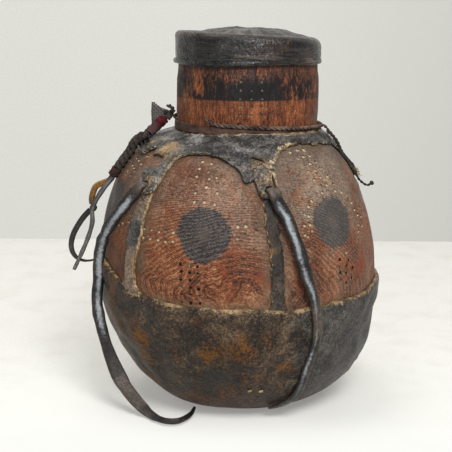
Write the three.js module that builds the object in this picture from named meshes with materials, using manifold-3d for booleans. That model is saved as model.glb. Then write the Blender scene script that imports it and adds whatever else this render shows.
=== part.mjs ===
// Milk vessel: a wooden bottle in a rawhide harness, with a rawhide cap and leather thongs.
// Lengths are millimetres, +Z is up, and the origin is the middle of the foot on the floor.
// A turn is an angle in degrees round the body, from the front (-Y) towards the right (+X).
// A place is where on the body's side: -1 at the foot, 0 at the belly, 1 at the shoulder's end.
import * as THREE from "three";
import { mergeVertices } from "three/addons/utils/BufferGeometryUtils.js";
import Module from "manifold-3d";

const wasm = await Module();
wasm.setup();

// Clearances between pieces that touch, and under the harness
const FIT_GAP = 0.3;
const SKIN_GAP = 0.5;

// Wooden vessel
const FOOT_RADIUS = 37;
const BELLY_RADIUS = 111.4;
const BELLY_HEIGHT = 106;
const SHOULDER_RISE = 111.7;
const BOWL_FULLNESS = 1.91;
const SHOULDER_FULLNESS = 2.03;
const BELLY_SHIFT = 8.7;
const WALL = 11;
const NECK_RADIUS = 56.6;
const NECK_TUCK = 7.1;
const NECK_TAPER = 2;
const NECK_LENGTH = 74;
const NECK_WALL = 9;
const NECK_RIM_ROUND = 4;

// Rawhide cap
const LID_THICKNESS = 2.4;
const LID_OVERLAP = 20;
const LID_CROWN = 5;
const LID_SLANT = 0.047;
const LIP_HEIGHT = 3;
const LIP_ROLL = 0.8;

// Rawhide harness
const CUP_THICKNESS = 3.2;
const CUP_RIM_DROP = 6;
const SKIN_THICKNESS = 2.6;
const FRONT_RIB_TURN = 15;
const RIGHT_RIB_TURN = 103;
const BACK_RIB_TURN = 172;
const BACK_LEFT_RIB_TURN = 243;
const LEFT_RIB_TURN = 316.5;
const RIB_WIDTH = 11;
const PENDANT_WIDTH = 17;
const PENDANT_DROP = 40.6;
const ARCH_DROPS = [4.5, 7, 7, 7, 9];
const ARCH_FULLNESS = 2.8;
const SLOT_HEIGHT = 5.6;
const SLOT_DROP = 35;
const SLOT_SPARE = 1;

// Neck band and cords
const BAND_THICKNESS = 1.6;
const NECK_CORD_DIAMETER = 3.6;
const NECK_CORD_RISE = 6.2;
const NECK_CORD_TILT = 0.051;
const KNOT_RADIUS = 4.6;
const KNOT_RISE = 4.9;
const FRONT_THONG_WIDTH = 10;
const LEFT_THONG_WIDTH = 8.5;
const THONG_THICKNESS = 3.4;
const THONG_END_WIDTH = 5;
const BRAID_DIAMETER = 7;
const WRAP_DIAMETER = 8.4;
const WHIPPING_LENGTH = 7;
const LOOP_WIDTH = 4.4;
const LOOP_THICKNESS = 1.8;
const TAIL_DIAMETER = 3.4;
const RIGHT_CORD_DIAMETER = 2.6;
const TIE_RADIUS = 3;
const TAB_THICKNESS = 2;
const TAB_OUTLINE = [[-13.5, -7], [-6, -5], [-1, -2], [-1, 2.5], [-7, 4.5], [-13.2, 9.5], [-14, 2]];
const THONG_LIFT = 1;
const LOOP_ASIDE = 1.7;
const TAIL_ASIDE = -2.4;

// Ribs by name, in order round the body
const RIB_TURNS = {
  front: FRONT_RIB_TURN,
  right: RIGHT_RIB_TURN,
  back: BACK_RIB_TURN,
  back_left: BACK_LEFT_RIB_TURN,
  left: LEFT_RIB_TURN,
};

// Fineness of the surfaces
const ROUND_STEPS = 40;
const STRAP_SIDES = 10;
const THICK_CORD = 4;

// Heights and places that follow from the dimensions
const WOOD_BOTTOM = CUP_THICKNESS + FIT_GAP;
const SHOULDER_TOP = BELLY_HEIGHT + SHOULDER_RISE;
const SHOULDER_END_RADIUS = NECK_RADIUS - NECK_TUCK;
const NECK_TOP = SHOULDER_TOP + NECK_LENGTH;
const NECK_TOP_RADIUS = NECK_RADIUS - NECK_TAPER;
const BORE_RADIUS = NECK_TOP_RADIUS - NECK_WALL;
const LID_RIM = NECK_TOP - LID_OVERLAP;
const CUP_TOP = FIT_GAP + CUP_THICKNESS;
const SKIN_TOP = SKIN_GAP + SKIN_THICKNESS;
const CUP_RIM_PLACE = placeAtHeight(BELLY_HEIGHT - CUP_RIM_DROP);
const NECK_PLACE = placeAtRadius(NECK_RADIUS);
const NECK_SEAM = sideAt(NECK_PLACE).height;
const COLLAR_TOP_PLACE = placeAtRadius(NECK_RADIUS + 2 * FIT_GAP);
const COLLAR_TOP_HEIGHT = sideAt(COLLAR_TOP_PLACE, SKIN_TOP).height;
const PENDANT_PLACE = placeAtHeight(SHOULDER_TOP - PENDANT_DROP);
const SLOT_PLACE = placeAtHeight(SHOULDER_TOP - SLOT_DROP);
const NECK_CORD_HEIGHT = COLLAR_TOP_HEIGHT + NECK_CORD_RISE;

// Shape of the body

// The curve of the side is a quarter of a rounded oval below the belly and another above it.
function sideCurve(place) {
  const low = place < 0;
  const end = low ? FOOT_RADIUS : SHOULDER_END_RADIUS;
  return {
    end,
    reach: BELLY_RADIUS - end,
    rise: low ? WOOD_BOTTOM - BELLY_HEIGHT : SHOULDER_RISE,
    power: 2 / (low ? BOWL_FULLNESS : SHOULDER_FULLNESS),
  };
}

// A point of the side, moved straight out of the wood by the standoff.
function sideAt(place, standoff = 0) {
  const { end, reach, rise, power } = sideCurve(place);
  const angle = Math.abs(place) * Math.PI / 2;
  const cosine = Math.max(Math.cos(angle), 0);
  const sine = Math.sin(angle);
  const outward = new THREE.Vector2(cosine ** (2 - power) / reach, sine ** (2 - power) / rise);
  outward.normalize();
  return {
    radius: end + reach * cosine ** power + standoff * outward.x,
    height: BELLY_HEIGHT + rise * sine ** power + standoff * outward.y,
    shift: bellyShift(place),
  };
}

// The belly bulges to the left of the line through the foot and the neck.
function bellyShift(place) {
  const share = (place + 1) / (NECK_PLACE + 1);
  const grown = THREE.MathUtils.smoothstep(share, 0, 0.75);
  const gone = THREE.MathUtils.smoothstep(share, 0.86, 1);
  return -BELLY_SHIFT * grown * (1 - gone);
}

function placeAtHeight(height) {
  const { rise, power } = sideCurve(height - BELLY_HEIGHT);
  const sine = ((height - BELLY_HEIGHT) / rise) ** (1 / power);
  return Math.sign(height - BELLY_HEIGHT) * Math.asin(sine) / (Math.PI / 2);
}

function placeAtRadius(radius) {
  const { end, reach, power } = sideCurve(1);
  return Math.acos(((radius - end) / reach) ** (1 / power)) / (Math.PI / 2);
}

function neckRadius(height) {
  const share = (height - SHOULDER_TOP) / NECK_LENGTH;
  return NECK_RADIUS - NECK_TAPER * THREE.MathUtils.clamp(share, 0, 1);
}

function turned(turn, radius, height, shift = 0) {
  const angle = THREE.MathUtils.degToRad(turn);
  return new THREE.Vector3(radius * Math.sin(angle) + shift, -radius * Math.cos(angle), height);
}

function onWood(turn, place, standoff) {
  const { radius, height, shift } = sideAt(place, standoff);
  return turned(turn, radius, height, shift);
}

// A point lifted off the outside of the harness.
function onSkin(turn, place, lift) {
  return onWood(turn, place, CUP_TOP + lift);
}

// A point hanging beside the body, its reach and rise in parts of the belly's radius and height.
function inAir(turn, reach, rise) {
  return turned(turn, reach * BELLY_RADIUS, rise * BELLY_HEIGHT, -BELLY_SHIFT);
}

function onNeck(turn, height, lift) {
  return turned(turn, neckRadius(height) + lift, height);
}

// Ways of making solids

// Turns a profile of radius, height and shift round the upright axis.
function revolved(profile) {
  const points = profile.map((point) => new THREE.Vector2(point.radius, point.height));
  const geometry = new THREE.LatheGeometry(points, ROUND_STEPS);
  geometry.rotateX(Math.PI / 2);
  const position = geometry.attributes.position;
  for (let i = 0; i < position.count; i += 1) {
    position.setX(i, position.getX(i) + (profile[i % profile.length].shift ?? 0));
  }
  return geometry;
}

// A quarter of a circle in a profile, from one angle to another.
function roundedCorner(radius, height, round, from, to, steps) {
  const corner = [];
  for (let i = 0; i <= steps; i += 1) {
    const angle = THREE.MathUtils.degToRad(from + (to - from) * i / steps);
    corner.push({ radius: radius + round * Math.cos(angle), height: height + round * Math.sin(angle) });
  }
  return corner;
}

function sideProfile(from, to, steps, standoff) {
  const profile = [];
  for (let i = 0; i <= steps; i += 1) {
    profile.push(sideAt(from + (to - from) * i / steps, standoff));
  }
  return profile;
}

// Tips the top of the neck and the cap together, lower on the right.
function slantTop(geometry) {
  const position = geometry.attributes.position;
  for (let i = 0; i < position.count; i += 1) {
    const height = position.getZ(i);
    const share = THREE.MathUtils.smoothstep(height, LID_RIM, NECK_TOP);
    position.setZ(i, height - LID_SLANT * position.getX(i) * share);
  }
  return geometry;
}

function indexed(points, triangles) {
  const geometry = new THREE.BufferGeometry();
  geometry.setFromPoints(points);
  geometry.setIndex(triangles);
  geometry.computeVertexNormals();
  return geometry;
}

// A skin between an inner and an outer grid of points. pointAt takes column, row and layer.
function skin(columns, rows, closed, pointAt) {
  const points = [];
  const triangles = [];
  for (let layer = 0; layer < 2; layer += 1) {
    for (let column = 0; column < columns; column += 1) {
      for (let row = 0; row < rows; row += 1) {
        points.push(pointAt(column, row, layer));
      }
    }
  }
  const at = (column, row, layer) => (layer * columns + column % columns) * rows + row;
  const quad = (a, b, c, d) => triangles.push(a, b, c, a, c, d);
  const spans = closed ? columns : columns - 1;
  for (let column = 0; column < spans; column += 1) {
    const next = column + 1;
    for (let row = 0; row + 1 < rows; row += 1) {
      quad(at(column, row, 1), at(next, row, 1), at(next, row + 1, 1), at(column, row + 1, 1));
      quad(at(column, row, 0), at(column, row + 1, 0), at(next, row + 1, 0), at(next, row, 0));
    }
    const top = rows - 1;
    quad(at(column, 0, 0), at(next, 0, 0), at(next, 0, 1), at(column, 0, 1));
    quad(at(column, top, 0), at(column, top, 1), at(next, top, 1), at(next, top, 0));
  }
  for (let row = 0; !closed && row + 1 < rows; row += 1) {
    const last = columns - 1;
    quad(at(0, row, 0), at(0, row, 1), at(0, row + 1, 1), at(0, row + 1, 0));
    quad(at(last, row, 0), at(last, row + 1, 0), at(last, row + 1, 1), at(last, row, 1));
  }
  return indexed(points, triangles);
}

function routeCurve(route) {
  return new THREE.CatmullRomCurve3(route, false, "centripetal");
}

// A round cord along a route.
function cord(route, diameter) {
  const curve = routeCurve(route);
  const section = new THREE.Shape();
  section.absarc(0, 0, diameter / 2, 0, 2 * Math.PI);
  const steps = Math.ceil(curve.getLength() / (2 * diameter));
  const curveSegments = diameter < THICK_CORD ? 4 : 6;
  return new THREE.ExtrudeGeometry(section, { steps, curveSegments, extrudePath: curve });
}

// A flat strap along a route, its width lying along the side direction where it starts.
function strap(route, side, thickness, startWidth, endWidth) {
  const curve = routeCurve(route);
  const steps = Math.ceil(curve.getLength() / startWidth);
  const points = [];
  const triangles = [];
  const across = side.clone();
  for (let i = 0; i <= steps; i += 1) {
    const middle = curve.getPointAt(i / steps);
    const along = curve.getTangentAt(i / steps);
    across.addScaledVector(along, -across.dot(along)).normalize();
    const face = new THREE.Vector3().crossVectors(along, across);
    const halfWidth = THREE.MathUtils.lerp(startWidth, endWidth, i / steps) / 2;
    for (let k = 0; k < STRAP_SIDES; k += 1) {
      const angle = 2 * Math.PI * k / STRAP_SIDES;
      const point = middle.clone().addScaledVector(across, halfWidth * Math.cos(angle));
      points.push(point.addScaledVector(face, thickness / 2 * Math.sin(angle)));
    }
  }
  for (let i = 0; i < steps; i += 1) {
    for (let k = 0; k < STRAP_SIDES; k += 1) {
      const a = i * STRAP_SIDES + k;
      const b = i * STRAP_SIDES + (k + 1) % STRAP_SIDES;
      triangles.push(a, b, b + STRAP_SIDES, a, b + STRAP_SIDES, a + STRAP_SIDES);
    }
  }
  const end = steps * STRAP_SIDES;
  for (let k = 1; k + 1 < STRAP_SIDES; k += 1) {
    triangles.push(0, k + 1, k, end, end + k, end + k + 1);
  }
  return indexed(points, triangles);
}

function solidOf(geometry) {
  const bare = geometry.clone();
  bare.deleteAttribute("normal");
  bare.deleteAttribute("uv");
  const merged = mergeVertices(bare);
  const vertProperties = merged.attributes.position.array;
  const triVerts = new Uint32Array(merged.index.array);
  return new wasm.Manifold(new wasm.Mesh({ numProp: 3, vertProperties, triVerts }));
}

function cutAway(geometry, cutters) {
  const left = cutters.reduce((solid, cutter) => solid.subtract(solidOf(cutter)), solidOf(geometry));
  const { vertProperties, triVerts } = left.getMesh();
  const cut = new THREE.BufferGeometry();
  cut.setAttribute("position", new THREE.BufferAttribute(vertProperties, 3));
  cut.setIndex(new THREE.BufferAttribute(triVerts, 1));
  cut.computeVertexNormals();
  return cut;
}

// Wooden vessel: one carving in two solids, which meet in a level seam under the neck band

function vesselBody() {
  const profile = [
    { radius: 0, height: WOOD_BOTTOM },
    ...sideProfile(-1, CUP_RIM_PLACE, 10, 0),
    ...sideProfile(0.08, 0.56, 6, 0),
    ...sideProfile(0.62, NECK_PLACE, 7, 0),
    { radius: BORE_RADIUS, height: NECK_SEAM },
    { radius: BORE_RADIUS, height: SHOULDER_TOP - WALL / 2 },
    ...sideProfile(NECK_PLACE, -1, 10, -WALL),
    { radius: 0, height: WOOD_BOTTOM + WALL },
  ];
  return revolved(profile);
}

function vesselNeck() {
  const foot = NECK_SEAM + FIT_GAP;
  const rimHeight = NECK_TOP - NECK_RIM_ROUND;
  const rimRadius = NECK_TOP_RADIUS - NECK_RIM_ROUND;
  const lipRound = NECK_RIM_ROUND / 2;
  const profile = [
    { radius: BORE_RADIUS, height: foot },
    { radius: neckRadius(foot), height: foot },
    { radius: neckRadius(LID_RIM), height: LID_RIM },
    ...roundedCorner(rimRadius, rimHeight, NECK_RIM_ROUND, 0, 90, 3),
    ...roundedCorner(BORE_RADIUS + lipRound, NECK_TOP - lipRound, lipRound, 90, 180, 2),
    { radius: BORE_RADIUS, height: LID_RIM },
    { radius: BORE_RADIUS, height: foot },
  ];
  return slantTop(revolved(profile));
}

// Rawhide cap pressed over the neck

function lidCap() {
  const inner = neckRadius(LID_RIM) + FIT_GAP;
  const outer = inner + LID_THICKNESS;
  const innerRound = NECK_RIM_ROUND + FIT_GAP;
  const outerRound = innerRound + LID_THICKNESS;
  const cornerRadius = inner - innerRound;
  const cornerHeight = NECK_TOP + FIT_GAP - innerRound;
  const crown = (radius, top) => ({
    radius,
    height: top + LID_CROWN * (1 - (radius / cornerRadius) ** 2),
  });
  const shares = [0, 0.35, 0.7];
  const profile = [
    ...shares.map((share) => crown(share * cornerRadius, cornerHeight + innerRound)),
    ...roundedCorner(cornerRadius, cornerHeight, innerRound, 90, 0, 3),
    { radius: inner, height: LID_RIM },
    { radius: outer + LIP_ROLL, height: LID_RIM },
    { radius: outer + LIP_ROLL, height: LID_RIM + LIP_HEIGHT / 2 },
    { radius: outer, height: LID_RIM + LIP_HEIGHT },
    ...roundedCorner(cornerRadius, cornerHeight, outerRound, 0, 90, 3),
    ...shares.toReversed().map((share) => crown(share * cornerRadius, cornerHeight + outerRound)),
  ];
  return slantTop(revolved(profile));
}

// Rawhide cup under the belly

function baseCup() {
  const profile = [
    { radius: 0, height: 0 },
    ...sideProfile(-1, CUP_RIM_PLACE, 10, CUP_TOP),
    ...sideProfile(CUP_RIM_PLACE, -1, 10, FIT_GAP),
    { radius: 0, height: CUP_THICKNESS },
  ];
  return revolved(profile);
}

// Rawhide collar over the shoulder, with a pendant over each rib and an arch over each window

// A prism through a window: upright sides with an arch on top, reaching out from the middle.
function windowCutter(fromTurn, toTurn, archDrop) {
  const turn = (fromTurn + toTurn) / 2;
  const halfTurn = THREE.MathUtils.degToRad(toTurn - fromTurn) / 2;
  const { radius, height, shift } = sideAt(PENDANT_PLACE);
  const archRise = PENDANT_DROP - archDrop;
  const pendantHalf = Math.asin(PENDANT_WIDTH / 2 / radius);
  const halfWidth = radius * Math.sin(halfTurn - pendantHalf);
  const archSteps = 14;
  const outline = new THREE.Shape();
  outline.moveTo(-halfWidth, height - PENDANT_DROP);
  outline.lineTo(halfWidth, height - PENDANT_DROP);
  for (let i = 0; i <= archSteps; i += 1) {
    const angle = Math.PI * i / archSteps;
    const across = Math.sign(Math.cos(angle)) * Math.abs(Math.cos(angle)) ** (2 / ARCH_FULLNESS);
    const up = Math.abs(Math.sin(angle)) ** (2 / ARCH_FULLNESS);
    outline.lineTo(halfWidth * across, height + archRise * up);
  }
  const prism = new THREE.ExtrudeGeometry(outline, { depth: 2 * radius, bevelEnabled: false });
  const upward = new THREE.Vector3(0, 0, 1);
  prism.applyMatrix4(new THREE.Matrix4().makeBasis(turned(turn + 90, 1, 0), upward, turned(turn, 1, 0)));
  return prism.translate(shift, 0, 0);
}

function thongSlot(turn, thongWidth) {
  const middle = onWood(turn, SLOT_PLACE, 0);
  const outward = onWood(turn, SLOT_PLACE, 1).sub(middle);
  const sideways = turned(turn + 90, 1, 0);
  const upward = new THREE.Vector3().crossVectors(outward, sideways);
  const box = new THREE.BoxGeometry(thongWidth + SLOT_SPARE, SLOT_HEIGHT, 4 * SKIN_THICKNESS);
  box.applyMatrix4(new THREE.Matrix4().makeBasis(sideways, upward, outward));
  return box.translate(middle.x, middle.y, middle.z);
}

function collar() {
  const rows = 8;
  const ring = skin(ROUND_STEPS, rows, true, (column, row, layer) => {
    const place = THREE.MathUtils.lerp(PENDANT_PLACE, COLLAR_TOP_PLACE, row / (rows - 1));
    return onWood(column * 360 / ROUND_STEPS, place, layer ? SKIN_TOP : SKIN_GAP);
  });
  const cutters = [
    thongSlot(FRONT_RIB_TURN, FRONT_THONG_WIDTH),
    thongSlot(LEFT_RIB_TURN, LEFT_THONG_WIDTH),
  ];
  const turns = Object.values(RIB_TURNS);
  turns.forEach((turn, i) => {
    const nextTurn = turns[i + 1] ?? turns[0] + 360;
    cutters.push(windowCutter(turn, nextTurn, ARCH_DROPS[i]));
  });
  return cutAway(ring, cutters);
}

// Rawhide rib from a pendant down to the cup

function rib(turn) {
  const low = placeAtHeight(BELLY_HEIGHT - CUP_RIM_DROP + FIT_GAP);
  const high = placeAtHeight(SHOULDER_TOP - PENDANT_DROP - FIT_GAP);
  const columns = 4;
  const rows = 13;
  return skin(columns, rows, false, (column, row, layer) => {
    const place = THREE.MathUtils.lerp(low, high, row / (rows - 1));
    const halfTurn = THREE.MathUtils.radToDeg(RIB_WIDTH / 2 / sideAt(place).radius);
    const across = 2 * column / (columns - 1) - 1;
    return onWood(turn + across * halfTurn, place, layer ? SKIN_TOP : SKIN_GAP);
  });
}

// Leather band and twisted cord round the foot of the neck

function neckCordHeight(turn) {
  const sideways = NECK_RADIUS * Math.sin(THREE.MathUtils.degToRad(turn));
  return NECK_CORD_HEIGHT - NECK_CORD_TILT * sideways;
}

function neckBand() {
  return skin(ROUND_STEPS, 2, true, (column, row, layer) => {
    const turn = column * 360 / ROUND_STEPS;
    const top = neckCordHeight(turn) - NECK_CORD_DIAMETER / 2 - FIT_GAP;
    const height = row ? top : COLLAR_TOP_HEIGHT + FIT_GAP;
    return onNeck(turn, height, layer ? FIT_GAP + BAND_THICKNESS : FIT_GAP);
  });
}

function neckCord() {
  const lift = FIT_GAP + NECK_CORD_DIAMETER / 2;
  const firstTurn = -24;
  const lastTurn = 271;
  const turnSteps = 36;
  const route = [onNeck(firstTurn - 9, neckCordHeight(firstTurn) + NECK_CORD_DIAMETER, lift + FIT_GAP)];
  for (let i = 0; i <= turnSteps; i += 1) {
    const turn = firstTurn + (lastTurn - firstTurn) * i / turnSteps;
    route.push(onNeck(turn, neckCordHeight(turn), lift));
  }
  return cord(route, NECK_CORD_DIAMETER);
}

// Knot on the left of the neck and what hangs from it

const KNOT_TURN = -83;
const KNOT_LIFT = KNOT_RADIUS + BAND_THICKNESS + 2 * FIT_GAP;
const KNOT_MIDDLE = onNeck(KNOT_TURN, NECK_CORD_HEIGHT + KNOT_RISE, KNOT_LIFT);

function neckKnot() {
  const ball = new THREE.SphereGeometry(KNOT_RADIUS, 14, 10);
  return ball.translate(KNOT_MIDDLE.x, KNOT_MIDDLE.y, KNOT_MIDDLE.z);
}

function fromKnot(x, y, z) {
  return new THREE.Vector3(x, y, z).multiplyScalar(KNOT_RADIUS).add(KNOT_MIDDLE);
}

// A point on the line from one point through another, past the second by the distance.
function beyond(from, through, distance) {
  const along = through.clone().sub(from).normalize();
  return through.clone().addScaledVector(along, distance);
}

function knotLoop() {
  const reach = 1 + (TAIL_DIAMETER / 2 + 2 * FIT_GAP) / KNOT_RADIUS;
  const route = [-10, 10, 30, 50, 65].map((angle) => {
    const out = reach * Math.sin(THREE.MathUtils.degToRad(angle));
    return fromKnot(0.7 * out, -0.72 * out, reach * Math.cos(THREE.MathUtils.degToRad(angle)));
  });
  return cord(route, TAIL_DIAMETER);
}

function knotTab() {
  const outline = new THREE.Shape(TAB_OUTLINE.map(([x, z]) => new THREE.Vector2(x, z)));
  const tab = new THREE.ExtrudeGeometry(outline, { depth: TAB_THICKNESS, bevelEnabled: false });
  tab.rotateX(Math.PI / 2);
  const behind = KNOT_RADIUS + FIT_GAP + TAB_THICKNESS;
  return tab.translate(KNOT_MIDDLE.x, KNOT_MIDDLE.y + behind, KNOT_MIDDLE.z);
}

const BRAID_LIFT = BRAID_DIAMETER / 2 + SKIN_TOP - CUP_TOP + FIT_GAP;
const WRAP_END = fromKnot(-3.35, -2.24, -3.04);
const WRAP_START = beyond(WRAP_END, KNOT_MIDDLE, -KNOT_RADIUS - FIT_GAP);
const BRAID_ROUTE = [
  beyond(WRAP_START, WRAP_END, FIT_GAP),
  beyond(WRAP_START, WRAP_END, BRAID_DIAMETER / 2),
  onSkin(-76, 0.75, BRAID_LIFT + FIT_GAP),
  onSkin(-76, 0.7, BRAID_LIFT),
  onSkin(-76, 0.64, BRAID_LIFT - SKIN_THICKNESS),
  onSkin(-76, 0.58, BRAID_LIFT - SKIN_THICKNESS),
  onSkin(-77, 0.54, BRAID_LIFT - SKIN_THICKNESS),
  onSkin(-77.6, 0.515, BRAID_LIFT - SKIN_THICKNESS),
];
const WHIPPING_START = beyond(BRAID_ROUTE.at(-2), BRAID_ROUTE.at(-1), FIT_GAP);
const WHIPPING_END = beyond(BRAID_ROUTE.at(-2), BRAID_ROUTE.at(-1), WHIPPING_LENGTH);
const TAILS_START = beyond(WHIPPING_START, WHIPPING_END, FIT_GAP);
const TIE_MIDDLE = inAir(-79.4, 1.036, 1.49);

function knotWrap() {
  return cord([WRAP_START, WRAP_END], WRAP_DIAMETER);
}

function sideBraid() {
  return cord(BRAID_ROUTE, BRAID_DIAMETER);
}

function braidWhipping() {
  return cord([WHIPPING_START, WHIPPING_END], WRAP_DIAMETER);
}

// The tails leave the whipping side by side, the loop behind and the straight tail in front.
function tailStart(distance, sideways) {
  return beyond(WHIPPING_START, TAILS_START, distance).add(new THREE.Vector3(0, sideways, 0));
}

function besideTie(x, y, z) {
  return new THREE.Vector3(x, y, z).setLength(TIE_RADIUS + FIT_GAP).add(TIE_MIDDLE);
}

function upperLoop() {
  const route = [
    tailStart(0, LOOP_ASIDE),
    tailStart(LOOP_WIDTH, LOOP_ASIDE),
    inAir(-78.7, 1.012, 1.655),
    inAir(-79, 1.036, 1.605),
    inAir(-79.2, 1.045, 1.56),
    besideTie(-0.2, 0, 1),
  ];
  return strap(route, new THREE.Vector3(0, 1, 0), LOOP_THICKNESS, LOOP_WIDTH, LOOP_WIDTH);
}

function tailTie() {
  return new THREE.SphereGeometry(TIE_RADIUS, 10, 8).translate(TIE_MIDDLE.x, TIE_MIDDLE.y, TIE_MIDDLE.z);
}

function lowerLoop() {
  const route = [
    besideTie(-1, 0.1, -0.8),
    inAir(-81.2, 1.1, 1.42),
    inAir(-82.3, 1.145, 1.35),
    inAir(-84, 1.185, 1.264),
    inAir(-85.7, 1.203, 1.175),
    inAir(-87.4, 1.193, 1.105),
    inAir(-89.4, 1.165, 1.055),
    inAir(-92, 1.127, 1.025),
    inAir(-95.5, 1.09, 1.012),
    onSkin(-99, 0.01, LOOP_WIDTH / 2 + FIT_GAP),
  ];
  return strap(route, new THREE.Vector3(0, 1, 0), LOOP_THICKNESS, LOOP_WIDTH, LOOP_WIDTH);
}

function straightTail() {
  const pastTie = new THREE.Vector3(0, -TIE_RADIUS - TAIL_DIAMETER / 2 - FIT_GAP, 0);
  const route = [
    tailStart(FIT_GAP, TAIL_ASIDE),
    tailStart(LOOP_WIDTH, TAIL_ASIDE),
    inAir(-76, 0.995, 1.6),
    TIE_MIDDLE.clone().add(pastTie),
    inAir(-76.4, 1.05, 1.388),
    inAir(-76.8, 1.084, 1.265),
    inAir(-77.4, 1.133, 1.142),
    inAir(-77.9, 1.184, 1.025),
  ];
  return cord(route, TAIL_DIAMETER);
}

// Leather thongs from the slots in the collar

function slotExit(turn) {
  return [
    onWood(turn, SLOT_PLACE, SKIN_GAP + SKIN_THICKNESS / 2),
    onWood(turn, SLOT_PLACE - 0.003, CUP_TOP + THONG_THICKNESS / 2),
  ];
}

function frontThong() {
  const lift = THONG_THICKNESS / 2 + THONG_LIFT;
  const route = [
    ...slotExit(FRONT_RIB_TURN),
    onSkin(15.4, 0.463, lift + 1.6),
    onSkin(16.2, 0.43, lift + 1),
    onSkin(17.4, 0.395, lift),
    onSkin(19.2, 0.359, lift),
    onSkin(20.6, 0.31, lift),
    onSkin(21.8, 0.262, lift),
    onSkin(23.2, 0.211, lift),
    onSkin(24.3, 0.146, lift),
    onSkin(25.4, 0.095, lift),
    onSkin(27, 0.037, lift),
    onSkin(28.4, -0.025, lift),
    onSkin(29.3, -0.085, lift),
    onSkin(29.9, -0.141, lift),
    onSkin(29.9, -0.201, lift),
    onSkin(29.2, -0.259, lift),
    onSkin(28.2, -0.325, lift),
    onSkin(27.5, -0.398, lift),
    onSkin(27.6, -0.478, lift),
    onSkin(27, -0.555, lift),
    onSkin(24.6, -0.628, lift),
    onSkin(20, -0.68, lift),
    onSkin(15.2, -0.709, lift),
  ];
  const side = turned(FRONT_RIB_TURN + 90, 1, 0);
  return strap(route, side, THONG_THICKNESS, FRONT_THONG_WIDTH, THONG_END_WIDTH);
}

function leftThong() {
  const lift = THONG_THICKNESS / 2 + THONG_LIFT;
  const floor = (LEFT_THONG_WIDTH / 2 + FIT_GAP) / BELLY_HEIGHT;
  const route = [
    ...slotExit(LEFT_RIB_TURN),
    onSkin(-44.2, 0.463, lift + 1.6),
    onSkin(-45.8, 0.435, lift + 1),
    onSkin(-48.8, 0.395, lift),
    onSkin(-51.6, 0.35, lift),
    onSkin(-55.4, 0.299, lift),
    onSkin(-60, 0.239, lift),
    onSkin(-64.5, 0.165, lift),
    onSkin(-67.5, 0.08, lift),
    onSkin(-68.5, 0, lift),
    inAir(-67.7, 1.055, 0.815),
    inAir(-64.9, 1.035, 0.611),
    inAir(-60.9, 0.995, 0.402),
    inAir(-56.3, 0.95, 0.24),
    inAir(-50.5, 0.905, 0.126),
    inAir(-44.3, 0.88, 1.4 * floor),
    inAir(-37.5, 0.895, floor),
    inAir(-31, 0.905, floor),
    inAir(-27, 0.872, floor),
    inAir(-25.4, 0.8, floor),
    inAir(-25.6, 0.7, floor),
    inAir(-27.5, 0.61, 1.3 * floor),
  ];
  const side = turned(LEFT_RIB_TURN + 90, 1, 0);
  return strap(route, side, THONG_THICKNESS, LEFT_THONG_WIDTH, THONG_END_WIDTH);
}

// Thin cords on the right

function rightCord() {
  const route = [
    onNeck(80, NECK_CORD_HEIGHT - 3, NECK_CORD_DIAMETER + RIGHT_CORD_DIAMETER),
    onSkin(83, 0.87, 2.6),
    onSkin(83.5, 0.8, 1.5),
    onSkin(84, 0.715, 1.5),
    onSkin(84, 0.64, -0.9),
    onSkin(84, 0.579, -0.9),
    onSkin(84, 0.543, 0.1),
    onSkin(84, 0.51, -0.4),
    onSkin(84, 0.463, -1.3),
    onSkin(84, 0.435, 0),
    onSkin(84, 0.408, 3.3),
    onSkin(84, 0.412, 8.2),
  ];
  return cord(route, RIGHT_CORD_DIAMETER);
}

function rightCordStrand() {
  const route = [
    onSkin(78, 0.86, 1.5),
    onSkin(79, 0.78, 1.4),
    onSkin(79.5, 0.71, 1.2),
    onSkin(80, 0.64, -1.4),
    onSkin(80.5, 0.58, -1.5),
    onSkin(81.3, 0.53, -1.5),
    onSkin(82.2, 0.48, -1.5),
  ];
  return cord(route, RIGHT_CORD_DIAMETER);
}

// Materials

const WOOD = { color: 0x8a4a2a, roughness: 0.55, metalness: 0 };
const DARK_RAWHIDE = { color: 0x3a332d, roughness: 0.6, metalness: 0 };
const LID_RAWHIDE = { color: 0x2f2b29, roughness: 0.45, metalness: 0 };
const BROWN_LEATHER = { color: 0x4a3227, roughness: 0.6, metalness: 0 };
const BLACK_LEATHER = { color: 0x2b2c2f, roughness: 0.4, metalness: 0 };
const TAN_LEATHER = { color: 0x7a4e25, roughness: 0.6, metalness: 0 };
const DARK_FIBRE = { color: 0x2a2421, roughness: 0.85, metalness: 0 };
const GREY_FIBRE = { color: 0x55504a, roughness: 0.9, metalness: 0 };
const RED_THREAD = { color: 0x6a2a28, roughness: 0.8, metalness: 0 };

// Assembly

const part = new THREE.Group();
part.name = "milk_vessel";

function addPiece(name, geometry, material) {
  const piece = new THREE.Mesh(geometry, new THREE.MeshStandardMaterial(material));
  piece.name = name;
  part.add(piece);
}

addPiece("vessel_body", vesselBody(), WOOD);
addPiece("vessel_neck", vesselNeck(), WOOD);
addPiece("lid_cap", lidCap(), LID_RAWHIDE);
addPiece("base_cup", baseCup(), DARK_RAWHIDE);
addPiece("collar", collar(), DARK_RAWHIDE);
for (const [name, turn] of Object.entries(RIB_TURNS)) {
  addPiece(`rib_${name}`, rib(turn), DARK_RAWHIDE);
}
addPiece("neck_band", neckBand(), BROWN_LEATHER);
addPiece("neck_cord", neckCord(), DARK_FIBRE);
addPiece("neck_knot", neckKnot(), DARK_FIBRE);
addPiece("knot_loop", knotLoop(), DARK_FIBRE);
addPiece("knot_tab", knotTab(), GREY_FIBRE);
addPiece("knot_wrap", knotWrap(), RED_THREAD);
addPiece("side_braid", sideBraid(), DARK_FIBRE);
addPiece("braid_whipping", braidWhipping(), RED_THREAD);
addPiece("upper_loop", upperLoop(), TAN_LEATHER);
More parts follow.
